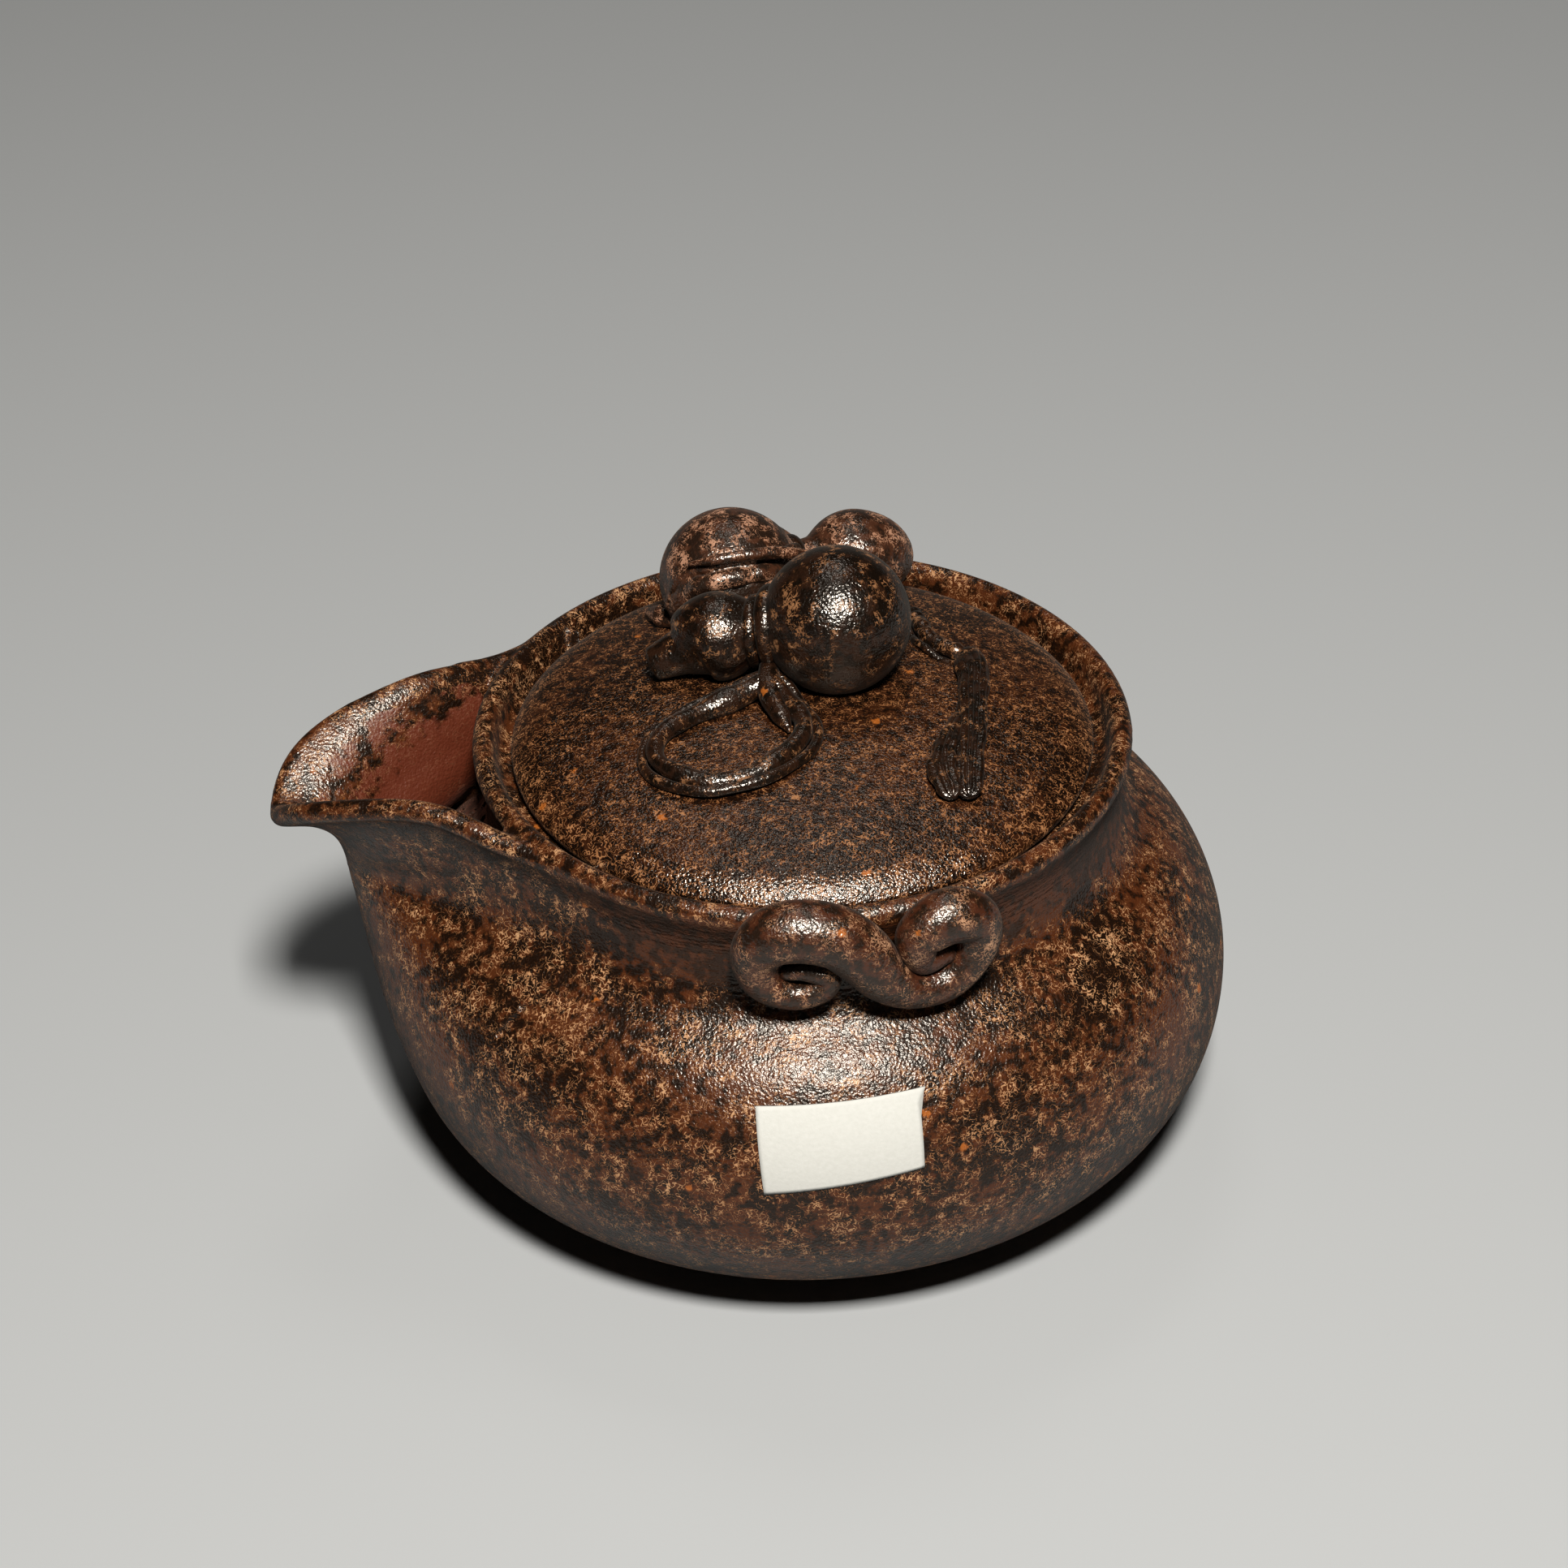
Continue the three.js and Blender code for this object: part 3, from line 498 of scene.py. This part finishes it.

    # On the marked places the slip is wiped or worn away in ragged patches; on the neck the same tint
    # is painted shade.
    scoured = []
    for key, code, strength in tints:
        share = add(tree, "ShaderNodeAttribute", attribute_name=key).outputs["Fac"]
        broken = add(tree, "ShaderNodeMath", {0: share, 1: 1.2, 2: cloud},
                     operation="MULTIPLY_ADD").outputs[0]
        broken = add(tree, "ShaderNodeMath", {0: grain, 1: 0.5, 2: broken},
                     operation="MULTIPLY_ADD").outputs[0]
        shown = add(tree, "ShaderNodeMapRange", {"Value": broken, "From Min": 1.3, "From Max": 1.5,
                    "To Min": 0, "To Max": strength}).outputs["Result"]
        colour = add(tree, "ShaderNodeMix", {0: shown, 6: colour, 7: linear(code)},
                     data_type="RGBA").outputs[2]
        scoured.append(shown)

    # The skin: orange peel over the slow swells of the fingers, and throwing lines on the neck.
    dimples = add(tree, "ShaderNodeTexNoise", {"Vector": place, "Scale": 1 / (orange_peel * MM),
                  "Detail": 1.5}).outputs["Fac"]
    swell = add(tree, "ShaderNodeTexNoise", {"Vector": place, "Scale": 1 / (finger_swell * MM),
                "Detail": 1}).outputs["Fac"]
    height = add(tree, "ShaderNodeMath", {0: swell, 1: 0.8, 2: dimples},
                 operation="MULTIPLY_ADD").outputs[0]
    if look["streaked"]:
        flat = add(tree, "ShaderNodeVectorMath", {0: place, 1: (0.15, 0.15, 1)},
                   operation="MULTIPLY").outputs[0]
        streaks = add(tree, "ShaderNodeTexNoise", {"Vector": flat, "Scale": 1 / (throwing_line * MM),
                      "Detail": 2}).outputs["Fac"]
        share = add(tree, "ShaderNodeAttribute", attribute_name="neck").outputs["Fac"]
        ridged = add(tree, "ShaderNodeMath", {0: streaks, 1: share}, operation="MULTIPLY").outputs[0]
        height = add(tree, "ShaderNodeMath", {0: ridged, 1: 1.8, 2: height},
                     operation="MULTIPLY_ADD").outputs[0]
    bump = add(tree, "ShaderNodeBump", {"Height": height, "Strength": 1.0,
               "Distance": look["peel"] * MM})

    # The slip is glossiest face on; ash and scoured clay are rougher. Iron warms the gloss a little.
    slope = add(tree, "ShaderNodeLayerWeight", {"Blend": 0.5}).outputs["Facing"]
    matt = add(tree, "ShaderNodeMapRange", {"Value": slope, "From Min": 0.45, "From Max": 1.0,
               "To Min": look["roughness"], "To Max": 0.95}).outputs["Result"]
    gloss = add(tree, "ShaderNodeMath", {0: ash_share, 1: 0.1, 2: matt},
                operation="MULTIPLY_ADD").outputs[0]
    for shown in scoured:
        gloss = add(tree, "ShaderNodeMath", {0: shown, 1: 0.18, 2: gloss},
                    operation="MULTIPLY_ADD").outputs[0]
    shader = add(tree, "ShaderNodeBsdfPrincipled", {"Base Color": colour, "Roughness": gloss,
                 "Normal": bump.outputs["Normal"], "IOR": 1.5, "Specular IOR Level": look["specular"],
                 "Specular Tint": linear("fff9f0")})
    add(tree, "ShaderNodeOutputMaterial", {"Surface": shader.outputs["BSDF"]})
    return made


# Iron-slipped stoneware fired with wood ash, to a pitted semi-gloss. It gives the eye a near-black
# to rust-brown ground under a tan net of ash, thick in patches 3 mm across. The real lines of the
# net are 0.1 to 0.2 mm wide, and they are drawn twice as coarse so that they show. The spout's
# inside was wiped to red-brown clay and the bowl's inside is plain brown. The neck under the rim is
# darker, with a thinner net: painted shade of the rim's overhang.
ash_stoneware = fired_clay("ash_mottled_stoneware",
                           dict(ground="0d0502", warm="321708", rust="583317", ash="aa8966",
                                cover=0.067, patchy=0.13, patch=3.2, net=0.58, roughness=0.285,
                                peel=0.13, specular=0.32, streaked=True, thicker=[("neck", -0.045)]),
                           [("bare", "421a0d", 0.92), ("inside", "392117", 0.85),
                            ("neck", "2c180c", 0.25)])
pot_wall.data.materials.clear()
pot_wall.data.materials.append(ash_stoneware)

# The screen. A patch of the shoulder behind the spout, pierced with small holes while the clay was
# leather hard, to hold the leaves back. Bare fired clay without slip: matt, reddish brown, hardly
# mottled, and rough where the tool came through.
bare_clay = fired_clay("bare_fired_clay",
                       dict(ground="30180d", warm="462419", rust="543224", ash="5e3d2e",
                            cover=0.07, patchy=0.3, patch=3, net=0.5, roughness=0.5,
                            peel=0.12, specular=0.5, streaked=False, thicker=[]))
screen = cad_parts["strainer_screen"]
screen.data.materials.clear()
screen.data.materials.append(bare_clay)

# The scroll grips. Each is a rolled coil, fat in the middle and thin at its ends, curled into an S
# and luted under the rim on either side. Iron slip, dark and a little glossy where fingers rub.
# A point of the coil is how far along the rim, how far below it, and the coil's radius there.
grip_angle = -85.0
grip_reach = rim_radius + 2
scroll = [(-9.8, 6.1, 0.9), (-7.7, 5.9, 1.2), (-5.4, 6.7, 1.5), (-5.9, 8.4, 1.6), (-9.1, 9.3, 1.7),
          (-12.4, 7.5, 2.3), (-13.3, 3.9, 2.9), (-11.2, 1.1, 3.4), (-7.8, 0.4, 3.6), (-4.1, 1.5, 3.6),
          (-1.3, 4.2, 3.5), (1.1, 7.6, 3), (4.3, 9.9, 2.4), (8.8, 9.9, 2.3), (12, 6.5, 2.6),
          (12, 2.7, 3), (8.7, 1.1, 3.2), (5.2, 3, 2.7), (5.7, 6.1, 1.9), (8.4, 6.2, 1.2)]


def along_and_across(path, up, closed=False):
    """Unit directions along a path, up from it and to its side, at each of its points."""
    tangent = np.roll(path, -1, 0) - np.roll(path, 1, 0) if closed else np.gradient(path, axis=0)
    tangent /= np.linalg.norm(tangent, axis=1)[:, None]
    face = up - tangent * (up * tangent).sum(1)[:, None]
    face /= np.linalg.norm(face, axis=1)[:, None]
    return tangent, face, np.cross(tangent, face)


def swept(name, path, radii, sides, outline=None, facing=None, closed=False):
    """A coil of clay along a path, with rounded ends unless the path is closed.

    outline squashes or furrows the round section, and facing says which way its top looks.
    """
    path = np.asarray(path, float)
    radii = np.asarray(radii, float)
    up = np.tile((0.0, 0.0, 1.0), (len(path), 1)) if facing is None else facing(path)
    tangent, face, side = along_and_across(path, up, closed)
    turns = np.linspace(0, 2 * math.pi, sides, endpoint=False)
    along = np.linspace(0, 1, len(path))
    rings = []

    def ring(k, size, push=0.0):
        r = radii[k] * size * (outline(turns, along[k]) if outline else np.ones(sides))
        return (path[k] + tangent[k] * push + side[k] * (r * np.cos(turns))[:, None]
                + face[k] * (r * np.sin(turns))[:, None])

    if not closed:
        rings += [ring(0, math.sin(t), -radii[0] * math.cos(t)) for t in np.linspace(0.06, 1.4, 8)]
    rings += [ring(k, 1) for k in range(len(path))]
    if not closed:
        rings += [ring(-1, math.cos(t), radii[-1] * math.sin(t)) for t in np.linspace(0.17, 1.51, 8)]
    return skinned(name, rings, closed)


# Iron slip over the coil: chocolate brown, blotched with grey-tan ash, glossier than the bowl.
grip_clay = fired_clay("dark_mottled_stoneware",
                       dict(ground="130904", warm="2c1409", rust="462913", ash="84644c",
                            cover=0.07, patchy=0.32, patch=3, net=0.5, roughness=0.3,
                            peel=0.13, specular=0.5, streaked=False, thicker=[]))
for name, side in (("front_grip", 1), ("rear_grip", -1)):
    line = rounded_line(scroll, 14)
    way = side * (math.radians(grip_angle) + line[:, 0] / grip_reach)
    path = np.stack([grip_reach * np.cos(way), grip_reach * np.sin(way), rim_top - line[:, 1]], 1)
    grip = swept(name + "_coil", path, line[:, 2], 40, facing=lambda p: p * (1, 1, 0))
    grip.data.materials.append(grip_clay)
    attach(grip, "pot")
    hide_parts(name)

# The lid. A low dome thrown upside down, with a rolled edge and a spigot ring under it that drops
# inside the ledge. The same clay and slip as the bowl, rubbed smooth on top.
lid_radius = 34.8
lid_rise = 4.8
lid_wall = 3.0
lid_underside = ledge_height + 0.3
lid_edge = lid_underside + 2.4
edge_roll = 100


def lid_top(x, y):
    """Height of the lid's top at a place on it."""
    share = np.minimum(np.hypot(x, y) / lid_radius, 1)
    return lid_edge + lid_rise * (1 - share ** 2.4) ** 0.75


# The outer tenth of the top rolls down by edge_roll times its share squared, 0.7 mm at the most.
spread = lid_radius * np.linspace(0, 0.985, 60)
dome = np.stack([spread, lid_top(spread, 0 * spread)], 1)
dome[:, 1] -= edge_roll * np.clip(spread / lid_radius - 0.9, 0, 1) ** 2
rolled = rounded_line([dome[-1], (lid_radius - 0.05, lid_edge - 1),
                       (lid_radius - 0.1, lid_underside + 0.6), (lid_radius - 0.6, lid_underside)], 8)
spigot = np.array([(30.7, lid_underside), (30.5, lid_underside - 3.2), (30.1, lid_underside - 3.6),
                   (28.9, lid_underside - 3.6), (28.5, lid_underside - 3.2), (28.3, lid_underside)])
under = np.stack([spread[:40:3], lid_top(spread[:40:3], 0) - lid_wall], 1)[::-1]
lid = turned("lid_dome", np.vstack([dome, rolled[1:], spigot, under]), 300)
points, normals = vertex_arrays(lid)
reach = from_axis(points, normals)[0]
# The outer 4 mm is marked for a paler net there: a painted highlight along the rolled edge.
mark(lid, "edge", smooth_step(reach, lid_radius - 4, lid_radius - 1))

# The bowl's finish with an even net and no bare places: brown all over, a little paler at the edge
# as a painted highlight along it, and glossier because the top faced the flame.
lid_clay = fired_clay("fine_mottled_stoneware",
                      dict(ground="0a0402", warm="200e05", rust="543015", ash="8a6646",
                           cover=0.069, patchy=0.05, patch=3.5, net=0.6, roughness=0.23,
                           peel=0.17, specular=0.45, streaked=False, thicker=[("edge", 0.012)]))
lid.data.materials.append(lid_clay)
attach(lid, "lid")
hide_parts("lid_plate")

# The bottle gourds. Solid clay, two bulbs and a stem each, pinched at the waist and stuck to the lid
# side by side with their stems apart. big, small and stem are places on the lid, and stand is the
# share of a bulb's radius that its middle is up: the rest is pressed into the lid.
gourds = {
    "front": dict(big=(4.8, 4.2), big_radius=8.9, big_stand=0.84, small=(-9.2, 7.2), small_radius=5.3,
                  small_stand=0.88, stem=(-17.4, 6.8), waist=2.9),
    "rear": dict(big=(-6.5, 19.2), big_radius=8.7, big_stand=0.68, small=(9.2, 24.0), small_radius=6.1,
                 small_stand=0.86, stem=(14.6, 26.6), waist=1.9),
}
stem_radius = 1.5
stem_foot = 1.95


def on_lid(x, y, above=0.0):
    """The point at a place on the lid, or that far above it."""
    return np.array([x, y, lid_top(x, y) + above])


def gourd_places(g):
    """The middles of a gourd's big bulb and small bulb, and the end of its stem."""
    return (on_lid(*g["big"], g["big_radius"] * g["big_stand"]),
            on_lid(*g["small"], g["small_radius"] * g["small_stand"]),
            on_lid(*g["stem"], stem_radius + 0.6))


# Thick iron slip on the near gourd and its cords: almost black and glossy, with a few dull rust
# blotches 2 mm wide where it ran thin. The far gourd and its cords take a paler copy, with more rust
# and ash, that is painted sheen: it stands in for the broad sheen of the light on them.
dark_slip = fired_clay("dark_iron_slip",
                       dict(ground="080402", warm="170b05", rust="3e2512", ash="62442c",
                            cover=0.035, patchy=0.62, patch=2.0, net=0.55, roughness=0.23,
                            peel=0.13, specular=0.5, streaked=False, thicker=[]))
sheen_painted_slip = fired_clay("iron_slip_with_painted_sheen",
                       dict(ground="150c07", warm="2c180e", rust="573a28", ash="7c5c49",
                            cover=0.068, patchy=0.5, patch=2.4, net=0.5, roughness=0.25,
                            peel=0.13, specular=0.5, streaked=False, thicker=[]))
for key, g in gourds.items():
    big, small, stem = gourd_places(g)
    spine = (big - small) / np.linalg.norm(big - small)
    route = [big + spine * g["big_radius"], big, small, small + (stem - small) * 0.55, stem]
    line = evenly(rounded_line(route, 30), 150)
    along = distances(line)
    big_place = g["big_radius"]
    small_place = g["big_radius"] + np.linalg.norm(big - small)
    # One core runs through the waist and both bulbs and comes out as the stem, its end rounded off.
    taper = np.interp(along, [big_place, small_place, along[-1]],
                      [g["waist"], g["small_radius"] * 0.72, stem_foot])
    taper = np.where(along > big_place, taper, 0)
    bulbs = [np.sqrt(np.maximum(r ** 2 - (along - at) ** 2, 0))
             for at, r in ((big_place, g["big_radius"]), (small_place, g["small_radius"]))]
    radii = (bulbs[0] ** 6 + bulbs[1] ** 6 + taper ** 6) ** (1 / 6)
    radii *= np.sqrt(np.clip((along[-1] - along) / 0.5 + 0.45, 0, 1))
    face, side = along_and_across(line, np.tile((0, 0, 1.0), (len(line), 1)))[1:]
    turns = np.linspace(0, 2 * math.pi, 72, endpoint=False)
    rings = [line[k] + side[k] * (radii[k] * np.cos(turns))[:, None]
             + face[k] * (radii[k] * np.sin(turns))[:, None] for k in range(1, len(line))]
    body = skinned(key + "_gourd_body", rings)
    # The far gourd takes the paler copy, whose paler net is painted sheen.
    body.data.materials.append(dark_slip if key == "front" else sheen_painted_slip)
    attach(body, "lid")
    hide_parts(key + "_gourd")

# The waist cords. Thin rolled coils wound twice round each gourd's waist, pressed in, and thinner
# towards their end. Clay under the same thick slip as the near gourd.
windings = 1.9
winding_pitch = 2.0
pressed_in = 0.2
for key, g in gourds.items():
    big, small = gourd_places(g)[:2]
    axis = (small - big) / np.linalg.norm(small - big)
    up = np.array((0, 0, 1.0)) - axis * axis[2]
    up /= np.linalg.norm(up)
    side = np.cross(axis, up)
    waist = (np.linalg.norm(big - small) + g["big_radius"] - g["small_radius"]) / 2 - 0.5
    turns = 2 * math.pi * windings * (np.linspace(0, 1, 160) - 0.5)
    sizes = np.interp(turns, [-3, 1.5], [1.35, 0.85])
    reach = g["waist"] - pressed_in + sizes
    path = (big + axis * waist + axis * (winding_pitch * turns / (2 * math.pi))[:, None]
            - up * (reach * np.cos(turns))[:, None] + side * (reach * np.sin(turns))[:, None])
    cord = swept(key + "_waist_coil", path, sizes, 28, facing=lambda p: np.tile(axis, (len(p), 1)))
    cord.data.materials.append(dark_slip)
    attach(cord, "lid")
    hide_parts(key + "_waist_cord")

# The cords that lie on the lid: a doubled loop in front, with a knot over it, a doubled end in the
# valley behind, and one that leads to the tassel. Rolled coils of clay laid side by side, stroked
# down on the lid and brushed with iron slip. Places are x and y on the lid, and a height over it.


def strand_pair(name, path, inner, outer, twist=2, closed=False, up=(0, 0, 1.0)):
    """A thick coil and a thinner one beside it along one path, rolling a little about each other."""
    path = np.asarray(path, float)
    face, side = along_and_across(path, np.tile(up, (len(path), 1)), closed)[1:]
    along = np.linspace(0, 2 * math.pi, len(path), endpoint=not closed)
    roll = 0.35 * np.sin(twist * along + 0.6)
    coils = []
    for key, size, other, sign in (("thick", inner, outer, -1), ("thin", outer, inner, 1)):
        swell = size * (1 + 0.07 * np.sin(5 * along + sign) + 0.05 * np.sin(9 * along - 2 * sign))
        across = sign * other * 0.98
        centre = path + side * (across * np.cos(roll))[:, None]
        centre += face * (across * np.sin(roll) + size - inner)[:, None]
        coils.append(swept(name + "_" + key, centre, swell, 28, closed=closed))
    joined(coils[0], coils[1])
    return coils[0]


def ring_line(route, count):
    """A closed line through a route's points."""
    line = rounded_line(route[-2:] + route + route[:3], 40)
    return evenly(line[80:80 + 40 * len(route) + 1], count + 1)[:-1]


def near_place(flat, x, y, reach):
    """A share that is 1 at a place on the lid and fades out over its reach."""
    return np.exp(-((flat[:, 0] - x) ** 2 + (flat[:, 1] - y) ** 2) / reach ** 2)


# The loop climbs over the waist cord's end, fattens beside it and thins at its far side.
loop = [(-4.6, 0.4), (-8.8, -1.1), (-13.4, -3.3), (-17.4, -6.2), (-18.8, -10.2), (-17.2, -14),
        (-12.5, -17.2), (-7.2, -16.6), (-3.4, -14.2), (-0.6, -10.8), (0, -7.2), (-1.2, -3.4),
        (-2.6, -0.8)]
loop_lift = 1.1
loop_strand = 1.15
flat = ring_line(loop, 260)
climb = 1.5 * near_place(flat, -3.7, -0.4, 2.4)
path = np.array([on_lid(x, y, loop_lift + up) for (x, y), up in zip(flat, climb)])
thick = loop_strand + 0.32 * near_place(flat, -8.6, -1.1, 3.6)
thick -= 0.15 * near_place(flat, -18.8, -8.4, 3.6)
path[:, 2] += thick - loop_strand
front_loop = strand_pair("front_loop", path, thick, 0.65, closed=True)

# The knot leads from the waist cord down over the loop to a short pointed end.
knot_route = [(-3.6, 1.8, 2.8), (-3.8, -0.4, 2.3), (-3.8, -2.4, 1.7), (-3.2, -5, 1.3),
              (-2.3, -8.2, 0.7)]
path = evenly(rounded_line([on_lid(*p) for p in knot_route], 24), 90)
sizes = np.interp(np.linspace(0, 1, 90), [0, 0.3, 0.5, 0.78, 1], [1.2, 1.5, 1.4, 1.15, 0.35])
knot = swept("front_knot", path, sizes, 40)

# The strands in the valley between the gourds lie high, so their heights are over the rim.
valley = [(1.7, 17.9, 11.5), (-1, 14.9, 12.8), (-4, 13, 13.6), (-9.2, 12.2, 13.4), (-11.6, 13.6, 11.6),
          (-12.6, 14.9, 9), (-13, 16.6, 6.4)]
path = evenly(rounded_line([(x, y, rim_top + above) for x, y, above in valley], 16), 90)
strands = strand_pair("rear_strands", path, 1.2, 0.8, 1, up=(0, -1, 0.6))
ridge = [(3, 15.2, 13.4), (-1, 13.6, 15.1), (-5, 12.3, 15.9), (-9, 12.2, 15.6), (-11.8, 13.6, 14.4)]
path = evenly(rounded_line([(x, y, rim_top + above) for x, y, above in ridge], 16), 80)
sizes = np.interp(np.linspace(0, 1, 80), [0, 0.3, 0.8, 1], [0.7, 0.8, 0.6, 0.25])
single = swept("rear_single", path, sizes, 24)
tip_route = [(-13.4, 18.6), (-14.8, 20.2), (-16.6, 22.4)]
path = evenly(rounded_line([on_lid(*p, 1.3) for p in tip_route], 20), 40)
sizes = np.interp(np.linspace(0, 1, 40), [0, 0.5, 1], [1, 1.5, 0.5])
tip = swept("rear_tip", path, sizes, 24)

# The cord from under the near gourd to the tassel.
lead_route = [(15.2, 16.2), (15.7, 12.4), (16.4, 9.4), (18, 7.3), (20.4, 5.4)]
path = evenly(rounded_line([on_lid(*p, 0.95) for p in lead_route], 20), 80)
lead = strand_pair("side_lead", path, 1.0, 0.45)


def threads(count, flat, depth=0.3):
    """The outline of a flattened hank, with a furrow between each two of its threads."""
    def outline(turns, t):
        squash = 1 / np.hypot(np.cos(turns), np.sin(turns) / flat)
        uneven = 0.35 * np.sin(2 * turns + 3 * t) + 0.5 * math.sin(5 * t)
        furrow = 1 - np.abs(np.cos(count / 2 * turns + uneven))
        lumps = 1 + 0.05 * np.sin(19 * t + 3 * turns) + 0.04 * np.sin(31 * t - 2 * turns)
        return squash * lumps * (1 - depth * furrow ** 1.5 * min(5 * t, 1))
    return outline


# The tassel and the short hank beside it, combed with a pointed tool while the clay was soft.
tassel_route = [(20.8, 5.4), (20.9, 1.9), (20.1, -3.6), (18.9, -11), (18, -15.5), (17.2, -20.6)]
path = evenly(rounded_line([on_lid(*p, 1.2) for p in tassel_route], 20), 140)
sizes = np.interp(np.linspace(0, 1, 140), [0, 0.1, 0.2, 0.5, 0.8, 1], [1.6, 2.1, 1.9, 1.8, 1.85, 1.7])
tassel = swept("long_tassel", path, sizes, 110, outline=threads(9, 0.62))
curl_route = [(17.9, -7.4), (16.4, -11), (15, -15), (14.6, -18), (14.9, -20.6)]
path = evenly(rounded_line([on_lid(*p, 0.95) for p in curl_route], 20), 90)
sizes = np.interp(np.linspace(0, 1, 90), [0, 0.4, 0.8, 1], [0.9, 1.6, 1.85, 1.6])
curl = swept("short_tassel", path, sizes, 80, outline=threads(7, 0.62))
for piece, node in ((front_loop, "front_cord_loop"), (knot, "front_cord_knot"),
                    (strands, "rear_cord_strands"), (single, "rear_single_strand"),
                    (tip, "rear_tassel_tip"), (lead, "side_cord"),
                    (tassel, "side_tassel"), (curl, "side_tassel_curl")):
    # The far cords take the paler copy, whose paler net is painted sheen.
    piece.data.materials.append(sheen_painted_slip if node.startswith("rear") else dark_slip)
    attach(piece, "lid")
    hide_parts(node)

# The paper tag. A slip of off-white gummed paper, cut by hand and stuck on the belly, with one
# corner torn. Its bottom and top are given by the degrees round the pot and the height of their two
# corners, and gum and tag_face are how far its back and its face stand off the belly.
tag_bottom = ((-101.5, 26.1), (-80.9, 28.1))
tag_top = ((-102.9, 35.6), (-80.4, 36.3))
torn_ear = 1.1
gum = 0.08
tag_face = 0.28
up = np.linspace(0, 1, 26)
rings = []
for across in np.linspace(0, 1, 42):
    low, high = [np.array(left) + (np.array(right) - left) * across
                 for left, right in (tag_bottom, tag_top)]
    ear = torn_ear * np.clip((up - 0.86) / 0.14, 0, 1) * max(0, 6 * across - 5)
    way = np.radians(low[0] + (high[0] - low[0]) * up + ear)
    height = low[1] + (high[1] - low[1]) * up
    over, under = [np.stack([reach * np.cos(way), reach * np.sin(way), height], 1)
                   for reach in (bowl_radius(height) + tag_face, bowl_radius(height) + gum)]
    rings.append(np.vstack([over, under[::-1]]))
slip = skinned("paper_slip", rings)

# Uncoated paper: matt, off-white, with a faint cloud of fibres 0.5 mm long and no shine.
fibre_length = 0.5
fibre_depth = 0.03
paper = bpy.data.materials.new("gummed_paper")
paper.use_nodes = True
tree = paper.node_tree
tree.nodes.clear()
place = add(tree, "ShaderNodeTexCoord").outputs["Object"]
fibre = add(tree, "ShaderNodeTexNoise", {"Vector": place, "Scale": 1 / (fibre_length * MM),
            "Detail": 4}).outputs["Fac"]
tone = add(tree, "ShaderNodeMix", {0: fibre, 6: linear("898a86"), 7: linear("939491")},
           data_type="RGBA").outputs[2]
crease = add(tree, "ShaderNodeBump", {"Height": fibre, "Strength": 1.0,
             "Distance": fibre_depth * MM}).outputs["Normal"]
shader = add(tree, "ShaderNodeBsdfPrincipled", {"Base Color": tone, "Roughness": 0.85,
             "Normal": crease})
add(tree, "ShaderNodeOutputMaterial", {"Surface": shader.outputs["BSDF"]})
slip.data.materials.append(paper)
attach(slip, "pot")
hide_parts("capacity_label")

# The floor. A wide sheet of plain pale grey backing paper, matt, that runs out of sight behind.
floor_half = 3000
corners = [(-floor_half, -floor_half, 0), (floor_half, -floor_half, 0),
           (floor_half, floor_half, 0), (-floor_half, floor_half, 0)]
floor = mesh_object("floor", corners, [(0, 1, 2, 3)])
backing = bpy.data.materials.new("pale_paper_floor")
backing.use_nodes = True
tree = backing.node_tree
tree.nodes.clear()
shader = add(tree, "ShaderNodeBsdfPrincipled", {"Base Color": linear("7a7d7f"), "Roughness": 0.9})
add(tree, "ShaderNodeOutputMaterial", {"Surface": shader.outputs["BSDF"]})
floor.data.materials.append(backing)

# The lights. A small soft box high in front throws the main highlights and the shadow, a larger weak
# one high behind rounds off the back, and the room adds a very little light from all sides.


def lamp(name, azimuth, elevation, distance, side, power, colour):
    """A square soft box aimed at the pot's middle, in degrees, metres and watts.

    Azimuth 0 is in front of the pot.
    """
    light = bpy.data.lights.new(name, "AREA")
    light.energy = power
    light.size = side
    light.color = linear(colour)[:3]
    holder = bpy.data.objects.new(name, light)
    a = math.radians(azimuth)
    e = math.radians(elevation)
    away = Vector((math.cos(e) * math.sin(a), -math.cos(e) * math.cos(a), math.sin(e))) * distance
    holder.location = away + Vector((0, 0, 0.03))
    holder.rotation_euler = (-away).to_track_quat("-Z", "Y").to_euler()
    bpy.context.scene.collection.objects.link(holder)


lamp("key", azimuth=1.5, elevation=55.5, distance=0.78, side=0.104, power=19.4, colour="fff9f1")
lamp("overhead", azimuth=176, elevation=66, distance=1.1, side=0.3, power=1.7, colour="fffaf4")
world = bpy.data.worlds.new("studio")
bpy.context.scene.world = world
world.use_nodes = True
room = world.node_tree.nodes["Background"].inputs
room["Color"].default_value = linear("eeeae4")
room["Strength"].default_value = 0.012
bpy.context.scene.view_settings.view_transform = "Standard"

# The camera. Its place, tilt and lens were fitted to the rim, the belly, the lid and the base as the
# photograph shows them, 0.5 m away and looking down at 35 degrees.
lens = bpy.data.cameras.new("camera")
lens.sensor_width = 36
lens.lens = 90.745
lens.clip_start = 0.01
lens.clip_end = 20
camera = bpy.data.objects.new("camera", lens)
bpy.context.scene.collection.objects.link(camera)
camera.location = (-0.03642, -0.38966, 0.31973)
right = Vector((0.9961947, -0.0871557, 0))
up = Vector((0.0498366, 0.569635, 0.8203855))
ahead = Vector((0.0715013, 0.8172637, -0.5718109))
basis = Matrix((right, up, -ahead)).transposed()
roll = -0.0271
camera.rotation_mode = "QUATERNION"
camera.rotation_quaternion = basis.to_quaternion() @ Quaternion((0, 0, 1), roll)
bpy.context.scene.camera = camera
